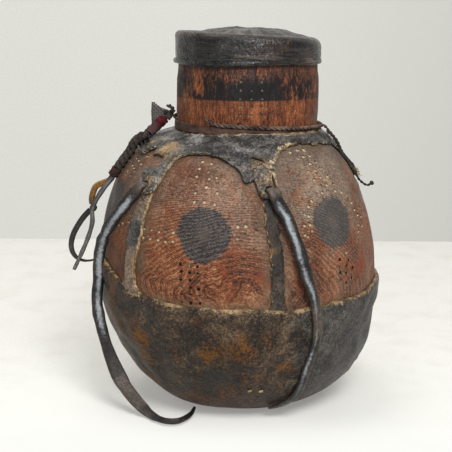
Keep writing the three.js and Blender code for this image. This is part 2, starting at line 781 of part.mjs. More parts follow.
addPiece("tail_tie", tailTie(), DARK_FIBRE);
addPiece("lower_loop", lowerLoop(), BLACK_LEATHER);
addPiece("straight_tail", straightTail(), GREY_FIBRE);
addPiece("front_thong", frontThong(), BLACK_LEATHER);
addPiece("left_thong", leftThong(), BLACK_LEATHER);
addPiece("right_cord", rightCord(), DARK_FIBRE);
addPiece("right_cord_strand", rightCordStrand(), DARK_FIBRE);

export default part;
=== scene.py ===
import math

import bmesh
import bpy
import numpy as np
from mathutils import Matrix, Vector
from mathutils.kdtree import KDTree


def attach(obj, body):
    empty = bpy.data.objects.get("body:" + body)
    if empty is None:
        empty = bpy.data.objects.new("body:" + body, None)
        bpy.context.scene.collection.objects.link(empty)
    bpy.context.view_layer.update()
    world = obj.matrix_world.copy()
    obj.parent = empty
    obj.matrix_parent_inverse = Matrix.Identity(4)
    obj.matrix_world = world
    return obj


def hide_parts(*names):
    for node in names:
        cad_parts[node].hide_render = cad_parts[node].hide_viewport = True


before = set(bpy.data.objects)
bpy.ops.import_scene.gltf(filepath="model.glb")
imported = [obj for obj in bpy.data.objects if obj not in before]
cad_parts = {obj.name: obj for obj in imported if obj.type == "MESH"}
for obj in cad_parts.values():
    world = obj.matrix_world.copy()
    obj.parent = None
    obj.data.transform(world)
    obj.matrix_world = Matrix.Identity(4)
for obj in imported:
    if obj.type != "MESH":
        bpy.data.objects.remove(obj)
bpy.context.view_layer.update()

# Sizes of the CAD source, in millimetres until a mesh is made. A turn is an angle in degrees round
# the body, from the front (-Y) towards the right (+X). A place is -1 at the foot, 0 at the belly and
# 1 at the shoulder's end.
MM = 0.001
FIT_GAP = 0.3
SKIN_GAP = 0.5
FOOT_RADIUS = 37
BELLY_RADIUS = 111.4
BELLY_HEIGHT = 106
SHOULDER_RISE = 111.7
BOWL_FULLNESS = 1.91
SHOULDER_FULLNESS = 2.03
BELLY_SHIFT = 8.7
WALL = 11
NECK_RADIUS = 56.6
NECK_TAPER = 2
NECK_LENGTH = 74
NECK_RIM_ROUND = 4
SHOULDER_END_RADIUS = 49.5
SHOULDER_TOP = BELLY_HEIGHT + SHOULDER_RISE
NECK_TOP = SHOULDER_TOP + NECK_LENGTH
BORE_RADIUS = 45.6
LID_RIM = NECK_TOP - 20
LID_THICKNESS = 2.4
LID_CROWN = 5
LID_SLANT = 0.047
CUP_THICKNESS = 3.2
CUP_TOP = CUP_THICKNESS + FIT_GAP
WOOD_BOTTOM = CUP_TOP
SKIN_TOP = 3.1
PENDANT_HEIGHT = SHOULDER_TOP - 40.6
SLOT_HEIGHT = SHOULDER_TOP - 35
RIB_TURNS = {"front": 15, "right": 103, "back": 172, "back_left": 243, "left": 316.5}
NECK_CORD_DIAMETER = 3.6
NECK_CORD_TILT = 0.051
BAND_THICKNESS = 1.6
KNOT_TURN = -83
KNOT_RADIUS = 4.6
THONG_THICKNESS = 3.4
LEFT_THONG_WIDTH = 8.5
BRAID_DIAMETER = 7
BRAID_WIDTH = 6.4
WRAP_DIAMETER = 8.4
LOOP_WIDTH = 4.4
TAIL_DIAMETER = 3.4
RIGHT_CORD_DIAMETER = 2.6
TIE_RADIUS = 3

VESSEL_BODY = "vessel_in_harness"
CAP_BODY = "cap"


# The body's surface

def smooth(value, low, high):
    """0 below low, 1 above high, and a smooth step between them."""
    share = np.clip((np.asarray(value, float) - low) / (high - low), 0, 1)
    return share * share * (3 - 2 * share)


def bell(value, middle, width):
    """1 at the middle, and next to nothing two widths away."""
    return np.exp(-((value - middle) / width) ** 2)


def squared(value, power):
    """A sine or cosine, pushed towards the corners of a square by a power below 1."""
    return np.sign(value) * np.abs(value) ** power


def unit(vector):
    return vector / np.linalg.norm(vector)


def ring_angles(sides):
    return np.linspace(0, 2 * np.pi, sides, endpoint=False)


def wrapped(turn, first=-180):
    """A turn as the same angle within a whole round that begins at first."""
    return (np.asarray(turn, float) - first) % 360 + first


def unevenness(seed, count, finest):
    """A hand-made unevenness over turn and height, the same each time, about -1 to 1."""
    typical_radius = 95
    random = np.random.default_rng(seed)
    around = random.integers(0, finest, count)
    upward = random.uniform(-finest, finest, count) / typical_radius
    start = random.uniform(0, 2 * np.pi, count)

    def at(turn, height):
        turn, height = np.broadcast_arrays(np.radians(turn), np.asarray(height, float))
        total = np.zeros(turn.shape)
        for waves, rise, first in zip(around, upward, start):
            total = total + np.sin(waves * turn + rise * height + first)
        return total / math.sqrt(count)

    return at


body_relief = unevenness(3, 14, 9)
fine_relief = unevenness(11, 22, 34)
edge_relief = unevenness(29, 26, 90)
lump_relief = unevenness(41, 34, 60)


def relief(turn, height):
    """How far the wood and the hide on it stand out of the smooth body."""
    return 0.55 * body_relief(turn, height) + 0.12 * fine_relief(turn, height)


def rise_and_fullness(low):
    """Rise from the belly and fullness: the bowl's where low is true, the shoulder's elsewhere."""
    rise = np.where(low, WOOD_BOTTOM - BELLY_HEIGHT, SHOULDER_RISE)
    return rise, np.where(low, BOWL_FULLNESS, SHOULDER_FULLNESS)


def side_at(place, standoff=0.0):
    """Radius and height of the body at a place, or of a point that stands off it."""
    tiny = 1e-9
    place = np.asarray(place, float)
    low = place < 0
    end = np.where(low, FOOT_RADIUS, SHOULDER_END_RADIUS)
    reach = BELLY_RADIUS - end
    rise, fullness = rise_and_fullness(low)
    power = 2 / fullness
    angle = np.abs(place) * np.pi / 2
    cosine = np.maximum(np.cos(angle), tiny)
    sine = np.maximum(np.sin(angle), tiny)
    out_radius = cosine ** (2 - power) / reach
    out_height = sine ** (2 - power) / rise
    size = np.hypot(out_radius, out_height)
    radius = end + reach * cosine ** power + standoff * out_radius / size
    height = BELLY_HEIGHT + rise * sine ** power + standoff * out_height / size
    return radius, height


def place_at_height(height):
    height = np.asarray(height, float)
    low = height < BELLY_HEIGHT
    rise, fullness = rise_and_fullness(low)
    sine = np.clip((height - BELLY_HEIGHT) / rise, 0, 1) ** (fullness / 2)
    return np.where(low, -1, 1) * np.arcsin(sine) / (np.pi / 2)


def place_at_radius(radius):
    """The place on the shoulder that has a radius."""
    share = (radius - SHOULDER_END_RADIUS) / (BELLY_RADIUS - SHOULDER_END_RADIUS)
    return math.acos(share ** (SHOULDER_FULLNESS / 2)) / (math.pi / 2)


NECK_PLACE = place_at_radius(NECK_RADIUS)
COLLAR_TOP_PLACE = place_at_radius(NECK_RADIUS + 2 * FIT_GAP)
COLLAR_TOP = float(side_at(COLLAR_TOP_PLACE, SKIN_TOP)[1])
NECK_CORD_HEIGHT = COLLAR_TOP + 6.2
SLOT_PLACE = float(place_at_height(SLOT_HEIGHT))


def belly_shift(place):
    """How far the belly leans to the left of the neck's axis."""
    share = (np.asarray(place, float) + 1) / (NECK_PLACE + 1)
    return -BELLY_SHIFT * smooth(share, 0, 0.75) * (1 - smooth(share, 0.86, 1))


def turned(turn, radius, height, shift=0.0):
    angle = np.radians(turn)
    return np.stack(np.broadcast_arrays(
        radius * np.sin(angle) + shift, -radius * np.cos(angle), height), axis=-1)


def on_wood(turn, place, standoff=0.0):
    radius, height = side_at(place, standoff)
    return turned(turn, radius, height, belly_shift(place))


def on_skin(turn, place, lift):
    return on_wood(turn, place, CUP_TOP + lift)


def in_air(turn, reach, rise):
    """A point off the body, its reach in belly radii and its rise in belly heights."""
    return turned(turn, reach * BELLY_RADIUS, rise * BELLY_HEIGHT, -BELLY_SHIFT)


def neck_radius(height):
    share = (np.asarray(height, float) - SHOULDER_TOP) / NECK_LENGTH
    return NECK_RADIUS - NECK_TAPER * np.clip(share, 0, 1)


def on_neck(turn, height, lift):
    return turned(turn, neck_radius(height) + lift, height)


def slanted(points):
    """Tips the top of the neck and the cap together, lower on the right."""
    points = np.array(points, float)
    share = smooth(points[..., 2], LID_RIM, NECK_TOP)
    points[..., 2] -= LID_SLANT * points[..., 0] * share
    return points


# Making meshes

def grid_faces(rows, columns, close_rows=False, close_columns=False):
    """Quads between the neighbours of a grid of points that is stored row by row."""
    index = np.arange(rows * columns).reshape(rows, columns)
    if close_rows:
        index = np.vstack([index, index[:1]])
    if close_columns:
        index = np.hstack([index, index[:, :1]])
    corners = index[:-1, :-1], index[:-1, 1:], index[1:, 1:], index[1:, :-1]
    return np.stack(corners, axis=-1).reshape(-1, 4).tolist()


def closed_faces(rings, sides):
    """Faces between rings that are joined in their order, with both ends shut."""
    last = (rings - 1) * sides
    ends = [list(range(sides))[::-1], list(range(last, last + sides))]
    return grid_faces(rings, sides, close_columns=True) + ends


def folded(outer, inner):
    """Rows of values that go out along the upper face of a sheet and come back along the lower one."""
    return np.concatenate([outer, inner[:, ::-1]], axis=1)


def mesh_of(name, points, faces, values=None, sharp=50):
    """A smooth mesh in metres, with values at its points, and sharp where faces meet at more degrees."""
    same_point = 1e-6
    mesh = bpy.data.meshes.new(name)
    mesh.from_pydata((np.asarray(points, float).reshape(-1, 3) * MM).tolist(), [], faces)
    for key, numbers in (values or {}).items():
        layer = mesh.attributes.new(key, "FLOAT", "POINT")
        layer.data.foreach_set("value", np.asarray(numbers, np.float32).ravel())
    shape = bmesh.new()
    shape.from_mesh(mesh)
    bmesh.ops.remove_doubles(shape, verts=shape.verts, dist=same_point)
    bmesh.ops.recalc_face_normals(shape, faces=shape.faces)
    shape.to_mesh(mesh)
    shape.free()
    mesh.shade_smooth()
    mesh.set_sharp_from_angle(angle=math.radians(sharp))
    return mesh


def placed(name, data):
    """A new object in the scene."""
    made = bpy.data.objects.new(name, data)
    bpy.context.scene.collection.objects.link(made)
    return made


def piece(name, mesh, slot, *materials, nodes=None, body=VESSEL_BODY):
    """Shows a mesh on a body, instead of the CAD node of its own name or of the nodes that are given."""
    made = placed(f"{name}_shown", mesh)
    for material in materials:
        mesh.materials.append(material)
    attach(made, body)
    replaced = [name] if nodes is None else nodes
    if replaced:
        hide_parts(*replaced)
    return made


class Loose:
    """Closed forms that are gathered into one mesh, each point with a shade and a ridge value."""

    def __init__(self):
        self.points = []
        self.faces = []
        self.shades = []
        self.ridges = []

    def add_rings(self, rings, shade=0.0, ridge=0.0):
        """Adds rings that are joined in their order: a shade for each ring, a ridge for each point."""
        count, sides = rings.shape[:2]
        first = sum(len(batch) for batch in self.points)
        self.points.append(rings.reshape(-1, 3))
        self.shades.append(np.repeat(np.broadcast_to(shade, count), sides))
        self.ridges.append(np.broadcast_to(ridge, (count, sides)).ravel())
        self.faces += [[first + corner for corner in face] for face in closed_faces(count, sides)]

    def mesh(self, name):
        values = {"shade": np.concatenate(self.shades), "ridge": np.concatenate(self.ridges)}
        return mesh_of(name, np.vstack(self.points), self.faces, values, sharp=60)

    def piece(self, name, slot, material, nodes=None):
        return piece(name, self.mesh(name), slot, material, nodes=nodes)


def lengths_along(line):
    """The length of a line up to each of its points."""
    return np.concatenate([[0], np.cumsum(np.linalg.norm(np.diff(line, axis=0), axis=1))])


def route_points(route, step):
    """Points about step apart on the smooth curve through a route, as the CAD source draws it."""
    steps = 24
    route = np.asarray(route, float)
    route = np.vstack([2 * route[0] - route[1], route, 2 * route[-1] - route[-2]])
    fine = []
    for points in zip(route, route[1:], route[2:], route[3:]):
        gaps = [math.sqrt(np.linalg.norm(after - before)) for before, after in zip(points, points[1:])]
        knots = np.concatenate([[0], np.cumsum(gaps)])
        at = np.linspace(knots[1], knots[2], steps, endpoint=False)[:, None]

        def blended(first, last, start, end):
            span = knots[last] - knots[first]
            return (knots[last] - at) / span * start + (at - knots[first]) / span * end

        for reach in (1, 2):
            points = [blended(k, k + reach, points[k], points[k + 1]) for k in range(len(points) - 1)]
        fine.append(blended(1, 2, *points))
    fine = np.vstack([*fine, route[-2:-1]])
    along = lengths_along(fine)
    at = np.linspace(0, along[-1], max(3, math.ceil(along[-1] / step) + 1))
    return np.stack([np.interp(at, along, fine[:, k]) for k in range(3)], axis=1)


def frames_along(line, side=None):
    """Two directions square to the line at each of its points, carried along without twisting."""
    tangents = np.gradient(line, axis=0)
    tangents /= np.linalg.norm(tangents, axis=1)[:, None]
    if side is None:
        slanting = (0.3, 0.5, 0.8)
        side = np.cross(tangents[0], slanting)
    across = []
    for tangent in tangents:
        side = unit(side - tangent * (side @ tangent))
        across.append(side)
    across = np.array(across)
    return across, np.cross(tangents, across)


def round_line(across, face, angle):
    """Directions square to a line, each turned round it by its own angle."""
    return across * np.cos(angle)[:, None] + face * np.sin(angle)[:, None]


def tube(into, line, radius, sides=8, shade=0.0):
    """Adds a closed tube round a line, its radius one number or one for each point."""
    across, face = frames_along(line)
    angle = ring_angles(sides)[None, :, None]
    radius = np.broadcast_to(np.asarray(radius, float), len(line))[:, None, None]
    ring = across[:, None] * np.cos(angle) + face[:, None] * np.sin(angle)
    into.add_rings(line[:, None] + radius * ring, shade)


def twisted(into, line, diameter, pitch, sides=7):
    """Adds two strands that are laid round each other along a line. Pitch is in diameters."""
    across, face = frames_along(line)
    strand = 0.26 * diameter
    for ply in range(2):
        angle = 2 * np.pi * (lengths_along(line) / (pitch * diameter) + ply / 2)
        path = line + (diameter / 2 - strand) * round_line(across, face, angle)
        tube(into, path, strand, sides)


def braided(into, line, side, width, thickness, pitch):
    """Adds three plaited strands along a line."""
    across, face = frames_along(line, side)
    strand = 0.25 * thickness
    for ply in range(3):
        phase = 2 * np.pi * (lengths_along(line) / pitch + ply / 3)
        path = line + across * (np.sin(phase) * (width / 2 - strand))[:, None]
        path = path + face * (np.sin(2 * phase) * (thickness / 2 - strand))[:, None]
        tube(into, path, strand * (1 + 0.08 * np.sin(5 * phase)))


def coil(into, start, end, radius, thread, wander):
    """Adds a thread that is wound round the line from start to end, turn beside turn."""
    spacing, points_per_turn = 1.02, 18
    turns = max(2, round(np.linalg.norm(end - start) / (thread * spacing)))
    share = np.linspace(0, 1, turns * points_per_turn)
    line = start + (end - start) * share[:, None]
    across, face = frames_along(line)
    angle = 2 * np.pi * turns * share
    reach = (radius - thread / 2) * (1 + wander * np.sin(2.3 * angle))[:, None]
    tube(into, line + reach * round_line(across, face, angle), thread / 2, 7, share)


STRAP_SIDES = 16
THONG_SIDES = 20


def strap_rings(line, side, widths, thickness, groove, twist=0.0, sides=STRAP_SIDES):
    """Rings of a flat strap along a line: rounded edges, a slight groove on its outer face."""
    across, face = frames_along(line, np.asarray(side, float))
    twist = np.radians(np.broadcast_to(twist, len(line)))
    across, face = round_line(across, face, twist), round_line(face, -across, twist)
    angle = ring_angles(sides)
    roundness, groove_width = 0.8, 0.28
    wide = squared(np.cos(angle), roundness)
    grooved = 1 - groove * bell(wide, 0, groove_width) * (np.sin(angle) > 0)
    deep = squared(np.sin(angle), roundness) * grooved
    widths = np.broadcast_to(widths, len(line))[:, None, None] / 2
    thickness = np.broadcast_to(thickness, len(line))[:, None, None] / 2
    return (line[:, None] + widths * across[:, None] * wide[None, :, None]
            + thickness * face[:, None] * deep[None, :, None])


# Materials

def rgb(red, green, blue):
    """A screen's colour, 0 to 255, as the linear colour that a shader takes."""
    parts = [value / 255 for value in (red, green, blue)]
    linear = [part / 12.92 if part <= 0.04045 else ((part + 0.055) / 1.055) ** 2.4 for part in parts]
    return (*linear, 1.0)


def midway(one, other):
    return tuple((a + b) / 2 for a, b in zip(one, other))


class Paint:
    """One material, built node by node from noise in the object's own coordinates, which are metres.
    In the functions that follow, p is the paint that they work on."""

    def __init__(self, name):
        self.material = bpy.data.materials.new(name)
        self.material.use_nodes = True
        self.tree = self.material.node_tree
        self.tree.nodes.clear()
        self.surface = self.node("ShaderNodeBsdfPrincipled")
        self.output = self.node("ShaderNodeOutputMaterial", {0: self.surface.outputs[0]})
        self.place = self.node("ShaderNodeTexCoord").outputs["Object"]
        self.x, self.y, self.z = self.node("ShaderNodeSeparateXYZ", {0: self.place}).outputs

    def feed(self, socket, value):
        if isinstance(value, bpy.types.NodeSocket):
            self.tree.links.new(value, socket)
        else:
            socket.default_value = value

    def node(self, kind, inputs=None, **settings):
        made = self.tree.nodes.new(kind)
        for name, value in settings.items():
            setattr(made, name, value)
        for name, value in (inputs or {}).items():
            self.feed(made.inputs[name], value)
        return made

    def math(self, operation, a, b=0.0, clamp=False):
        made = self.node("ShaderNodeMath", {0: a, 1: b}, operation=operation, use_clamp=clamp)
        return made.outputs[0]

    def vector_math(self, operation, inputs):
        return self.node("ShaderNodeVectorMath", inputs, operation=operation).outputs

    def times(self, product, *others):
        for other in others:
            product = self.math("MULTIPLY", product, other)
        return product

    def swing(self, value, reach):
        """How far a value is from a half, times a reach."""
        return self.times(self.math("SUBTRACT", value, 0.5), reach)

    def pushed(self, value, noise, reach):
        """A value pushed up and down by a noise."""
        return self.math("ADD", value, self.swing(noise, reach))

    def apart(self, value, middle):
        return self.math("ABSOLUTE", self.math("SUBTRACT", value, middle))

    def total(self, *parts):
        """The sum of values, each times its weight."""
        made = 0.0
        for value, weight in parts:
            made = self.math("ADD", made, self.times(value, weight))
        return made

    def tone(self, *parts):
        """A half, and how far each value is from its own half, times its weight."""
        made = 0.5
        for value, weight in parts:
            made = self.pushed(made, value, weight)
        return made

    def stretched(self, scale, shift=(0, 0, 0), vector=None):
        inputs = {"Vector": vector or self.place, "Scale": scale, "Location": shift}
        return self.node("ShaderNodeMapping", inputs).outputs[0]

    def warped(self, amount, scale):
        """The object's coordinates, pushed about by a noise as far as an amount in millimetres."""
        made = self.node("ShaderNodeTexNoise", {"Vector": self.place, "Scale": scale, "Detail": 3.0})
        push = self.vector_math("SUBTRACT", {0: made.outputs[1], 1: (0.5, 0.5, 0.5)})[0]
        push = self.vector_math("SCALE", {0: push, "Scale": 2 * amount * MM})[0]
        return self.vector_math("ADD", {0: self.place, 1: push})[0]

    def noise(self, scale, detail=4.0, rough=0.55, warp=0.0, vector=None):
        inputs = {"Vector": vector or self.place, "Scale": scale, "Detail": detail,
                  "Roughness": rough, "Distortion": warp}
        return self.node("ShaderNodeTexNoise", inputs).outputs[0]

    def streaks(self, scales, detail, rough, warp):
        """A noise with its own scale along each axis."""
        return self.noise(1, detail, rough, warp, self.stretched(scales))

    def cells(self, scale):
        return self.node("ShaderNodeTexVoronoi", {"Vector": self.place, "Scale": scale}).outputs[0]

    def rings(self, scale, detail_scale, vector):
        """Growth rings round an upright axis."""
        inputs = {"Vector": vector, "Scale": scale, "Distortion": 2.0, "Detail": 2,
                  "Detail Scale": detail_scale}
        made = self.node("ShaderNodeTexWave", inputs, wave_type="RINGS", rings_direction="Z")
        return made.outputs["Fac"]

    def between(self, value, low, high, start=0.0, end=1.0):
        """Start below low, end above high, and smooth between them."""
        inputs = {0: value, 1: low, 2: high, 3: start, 4: end}
        return self.node("ShaderNodeMapRange", inputs, interpolation_type="SMOOTHSTEP").outputs[0]

    def mix(self, share, one, other):
        return self.node("ShaderNodeMix", {0: share, 6: one, 7: other}, data_type="RGBA").outputs[2]

    def ramp(self, value, *stops):
        made = self.node("ShaderNodeValToRGB", {0: value})
        band = made.color_ramp
        while len(band.elements) < len(stops):
            band.elements.new(0.5)
        for element, (position, tint) in zip(band.elements, stops):
            element.position = position
            element.color = tint
        return made.outputs[0]

    def value(self, name):
        """A value that the mesh holds at its points."""
        return self.node("ShaderNodeAttribute", attribute_name=name).outputs["Fac"]

    def outside(self, places, standoff=0.0):
        """Distance outside the nearest of some round marks on the body: turn, place and radius."""
        nearest = None
        for turn, place, radius in places:
            middle = [float(x) * MM for x in on_wood(turn, place, standoff)]
            away = self.vector_math("DISTANCE", {0: self.place, 1: middle})["Value"]
            away = self.math("SUBTRACT", away, radius * MM)
            nearest = away if nearest is None else self.math("MINIMUM", nearest, away)
        return nearest

    def bump(self, height, depth, strength):
        inputs = {"Height": height, "Distance": depth * MM, "Strength": strength}
        return self.node("ShaderNodeBump", inputs).outputs[0]

    def finish(self, tint, rough, normal=None, specular=0.5):
        self.feed(self.surface.inputs["Base Color"], tint)
        self.feed(self.surface.inputs["Roughness"], rough)
        self.feed(self.surface.inputs["Specular IOR Level"], specular)
        if normal:
            self.feed(self.surface.inputs["Normal"], normal)
        return self.material

    def cover(self, share, shader):
        """Lays another shader over what the material shows so far."""
        under = self.output.inputs[0].links[0].from_socket
        both = self.node("ShaderNodeMixShader", {0: share, 1: under, 2: shader.outputs[0]})
        self.feed(self.output.inputs[0], both.outputs[0])


# Where the log's heart runs through the vessel, the burnt discs (turn, place and radius), and the burnt
# band's lower and upper edge in metres
HEART = (-8, 26)
DISCS = [(-13, 0.271, 20.5), (44, 0.302, 19.5), (128, 0.29, 20), (207, 0.29, 20), (290, 0.36, 19)]
BURNT_LOW, BURNT_HIGH = 0.2456, 0.2626


class Wood(Paint):
    """Carved wood with growth rings, pores and curly upright grain."""

    def __init__(self, name):
        super().__init__(name)
        log = self.stretched((1, 1, 0.6), (-HEART[0] * MM, -HEART[1] * MM, 0), self.warped(1.0, 36))
        self.fine = self.rings(1500, 0.2, log)
        self.lines = self.rings(520, 0.3, log)
        self.mottle = self.noise(36, 6, 0.66, 0.5)
        self.pores = self.streaks((480, 480, 800), 4, 0.8, 0.5)
        self.grit = self.noise(1300, 2, 0.8)
        self.curl = self.streaks((620, 620, 170), 4, 0.75, 1.4)

    def stained(self, share, tint, dark, light):
        return self.mix(share, tint, self.mix(self.pores, dark, light))


def belly_tint(p):
    """Red-brown, dusty above and at the right, with embers, blushes and patches of smoke, and darker towards
    the left side.
    """
    grain = p.tone((p.fine, 0.17), (p.lines, 0.14), (p.mottle, 0.8), (p.pores, 1.3), (p.grit, 0.7))
    tint = p.ramp(grain, (0.2, rgb(36, 18, 11)), (0.43, rgb(99, 54, 33)),
                  (0.58, rgb(138, 82, 52)), (0.82, rgb(192, 138, 98)))
    dusty = p.ramp(grain, (0.2, rgb(58, 48, 42)), (0.48, rgb(118, 98, 84)), (0.82, rgb(184, 164, 142)))
    dust = p.total((p.between(p.z, 0.125, 0.19), 0.8), (p.between(p.x, -0.06, 0.05, -0.25, 0.35), 1.0))
    cloud = p.between(p.noise(30, 5, 0.65, 0.5), 0.34, 0.6, 0.25, 1.2)
    tint = p.mix(p.math("MULTIPLY", dust, cloud, clamp=True), tint, dusty)
    upright = p.streaks((260, 260, 30), 4, 0.6, 0.5)
    ember = p.times(p.between(upright, 0.52, 0.66, 0.0, 0.8), p.between(p.x, 0.045, 0.075),
                    p.between(p.z, 0.15, 0.18, 1.0, 0.1))
    tint = p.stained(ember, tint, rgb(124, 60, 30), rgb(186, 104, 56))
    blush = p.times(p.between(p.noise(46, 5, 0.65, 0.6), 0.52, 0.66, 0.0, 0.7),
                    p.between(p.z, 0.12, 0.17, 1.0, 0.1))
    tint = p.stained(blush, tint, rgb(104, 42, 24), rgb(164, 84, 52))
    smoke = p.between(p.noise(21, 5, 0.65, 0.6), 0.54, 0.7, 0.0, 0.4)
    # darker towards the left side of the belly
    left = p.times(p.between(p.x, -0.088, -0.068, 0.75, 0.0), p.between(p.mottle, 0.34, 0.6, 1.0, 0.5))
    return p.stained(p.math("MAXIMUM", smoke, left), tint, rgb(44, 32, 27), rgb(100, 76, 62))


def neck_tint(p):
    """Redder upright grain, darker higher up, where the darkness under the cap is painted shade as well as
    the wood's tint, with a burnt band that is patchy away from the front.
    """
    broad = p.streaks((90, 90, 45), 3, 0.6, 0.6)
    scratch = p.streaks((900, 900, 60), 2, 0.6, 0.5)
    fire = p.tone((p.curl, 1.2), (broad, 0.7), (p.pores, 0.6), (p.grit, 0.5), (scratch, 0.55))
    tint = p.ramp(fire, (0.2, rgb(34, 19, 15)), (0.45, rgb(101, 57, 37)),
                  (0.62, rgb(144, 83, 50)), (0.88, rgb(209, 139, 87)))
    # darker under the cap: partly the wood's tint, partly painted shade
    upper = p.ramp(fire, (0.25, rgb(26, 20, 19)), (0.5, rgb(74, 50, 40)),
                   (0.68, rgb(132, 76, 48)), (0.88, rgb(192, 120, 78)))
    ragged = p.pushed(p.z, fire, 0.016)
    tint = p.mix(p.between(ragged, 0.2575, 0.2645), tint, upper)
    band = p.times(p.between(p.z, BURNT_LOW - 0.0007, BURNT_LOW + 0.0005),
                   p.between(ragged, BURNT_HIGH - 0.0035, BURNT_HIGH + 0.0045, 1.0, 0.0))
    front = p.between(p.apart(p.x, 0.004), 0.016, 0.03, 1.0, 0.0)
    patchy = p.between(p.tone((p.curl, 0.9), (broad, 1.2)), 0.46, 0.66, 0.97, 0.15)
    char = p.ramp(fire, (0.3, rgb(8, 8, 10)), (0.6, rgb(28, 25, 27)), (0.9, rgb(74, 63, 60)))
    return p.mix(p.times(band, p.math("MAXIMUM", front, patchy)), tint, char)


def burnt_discs(p, tint):
    wobble = p.swing(p.noise(75, 5, 0.65), 0.012)
    fringe = p.swing(p.tone((p.lines, 0.5), (p.pores, 1.0)), 0.003)
    edge = p.total((p.outside(DISCS), 1.0), (wobble, 1.0), (fringe, 1.0))
    ash = p.tone((p.pores, 1.3), (p.fine, 0.2), (p.lines, 0.16), (p.mottle, 0.4), (p.grit, 0.9))
    ash = p.ramp(ash, (0.24, rgb(16, 16, 18)), (0.5, rgb(50, 47, 47)), (0.84, rgb(120, 113, 108)))
    ash = p.mix(p.between(edge, -0.02, -0.011, 0.4, 0.0), ash, rgb(104, 92, 82))
    ash = p.mix(p.between(p.x, 0.03, 0.06, 0.0, 0.14), ash, rgb(146, 138, 132))
    return p.mix(p.between(edge, -0.0014, 0.0008, 0.96, 0.0), tint, ash)


def grime_and_painted_shade(p, tint):
    """Soot and painted shade along the hide's edges, and soil against them that is pale on the cup's rim and
    darker higher up, where it is painted shade as well.
    """
    near = p.value("near_edge")
    clouds = p.between(p.noise(34, 5, 0.65), 0.36, 0.6, 0.15, 1.0)
    # painted shade: darkens the wood along the hide's edges, most under the collar
    soot_and_shade = p.times(p.between(near, 0.1, 1.0, 0.4, 0.0), clouds, p.between(p.z, 0.12, 0.16, 0.4, 1.0))
    tint = p.stained(soot_and_shade, tint, rgb(34, 27, 24), rgb(104, 88, 76))
    crumbs = p.between(p.noise(90, 5, 0.65), 0.38, 0.62, 0.1, 1.0)
    # pale soil on the cup's rim; higher up, beside the ribs and under the collar, a darker band of painted
    # shade
    dirt_and_shade = p.times(p.between(near, 0.0, 0.36, 0.85, 0.0), crumbs)
    settled_and_shaded = p.mix(p.pores, rgb(92, 72, 56), rgb(160, 134, 104))
    settled_and_shaded = p.stained(p.between(p.z, 0.112, 0.12), settled_and_shaded, rgb(52, 40, 33), rgb(132, 112, 90))
    return p.mix(dirt_and_shade, tint, settled_and_shaded)


def carved_wood():
    p = Wood("carved_wood")
    tint = p.mix(p.between(p.z, 0.214, 0.222), belly_tint(p), neck_tint(p))
    tint = grime_and_painted_shade(p, burnt_discs(p, tint))
    height = p.total((p.lines, 0.25), (p.pores, 1.3), (p.curl, 0.4), (p.grit, 0.4))
    rough = p.between(p.noise(50, 3), 0.3, 0.7, 0.44, 0.66)
    return p.finish(tint, rough, p.bump(height, depth=0.5, strength=0.7), specular=0.26)


def pit_filling_and_light():
    """The pricked dots: pale dust in the holes near the top, darker holes low on the belly. The pale is also
    put on each pit's lower wall as painted light.
    """
    p = Paint("pit_filling_and_light")
    patches = p.between(p.noise(170, 2), 0.36, 0.64, -0.7, 0.35)
    dust = p.total((p.between(p.z, 0.122, 0.15), 1.0), (patches, 1.0))
    dust = p.math("MULTIPLY", dust, p.between(p.z, 0.225, 0.235, 1.0, 0.35), clamp=True)
    return p.finish(p.mix(dust, rgb(36, 23, 18), rgb(196, 177, 147)), 0.85, specular=0.2)


def wood_inside():
    p = Paint("wood_inside")
    streaks = p.streaks((260, 260, 14), 4, 0.6, 0.2)
    tint = p.ramp(streaks, (0.3, rgb(34, 23, 18)), (0.7, rgb(78, 52, 37)))
    return p.finish(tint, 0.75, p.bump(streaks, depth=0.4, strength=0.6), specular=0.25)


class Hide(Paint):
    """Old rawhide: mottled and speckled, with marks of another tint and a pale fibrous cut edge."""

    def __init__(self, name):
        super().__init__(name)
        self.blots = self.noise(58, 6, 0.7, 0.7)
        self.specks = self.noise(430, 4, 0.78)
        self.grit = self.noise(950, 3, 0.8)
        self.mottle = self.tone((self.noise(15, 4, 0.6, 0.6), 0.5), (self.blots, 0.9), (self.specks, 0.9),
                                (self.grit, 0.9))

    def marked(self, tint, places, share, dark, light):
        """Tints irregular patches round some places on the body."""
        stray = self.tone((self.noise(75, 6, 0.75, 0.9), 1.0), (self.specks, 0.35))
        away = self.pushed(self.outside(places, SKIN_TOP), stray, 0.04)
        broken = self.between(self.tone((self.specks, 1.2), (self.blots, 0.8)), 0.34, 0.6)
        patch = self.times(self.between(away, -0.006, 0.004, share, 0.0), broken)
        return self.mix(patch, tint, self.ramp(self.mottle, (0.3, dark), (0.75, light)))

    def ended(self, tint, gloss, sheen, dark, pale, depth):
        """The finished hide, with its worn edge, fine scratches and grain."""
        fuzz = self.tone((self.noise(170, 5, 0.75), 1.3), (self.specks, 0.8), (self.grit, 0.7))
        edge = self.between(self.pushed(self.value("edge"), fuzz, 1.0), 0.36, 0.66)
        tint = self.mix(edge, tint, self.mix(self.between(fuzz, 0.3, 0.75), dark, pale))
        scratches = self.between(self.streaks((38, 38, 640), 2, 0.5, 0.3), 0.66, 0.74, 0.0, 0.3)
        tint = self.mix(scratches, tint, midway(dark, pale))
        height = self.total((self.cells(560), 0.4), (self.noise(120, 6, 0.72), 1.4), (self.specks, 0.7),
                            (self.grit, 0.5))
        rough = self.between(self.blots, 0.35, 0.68, gloss - 0.08, gloss + 0.2)
        return self.finish(tint, rough, self.bump(height, depth, strength=0.7), specular=sheen)


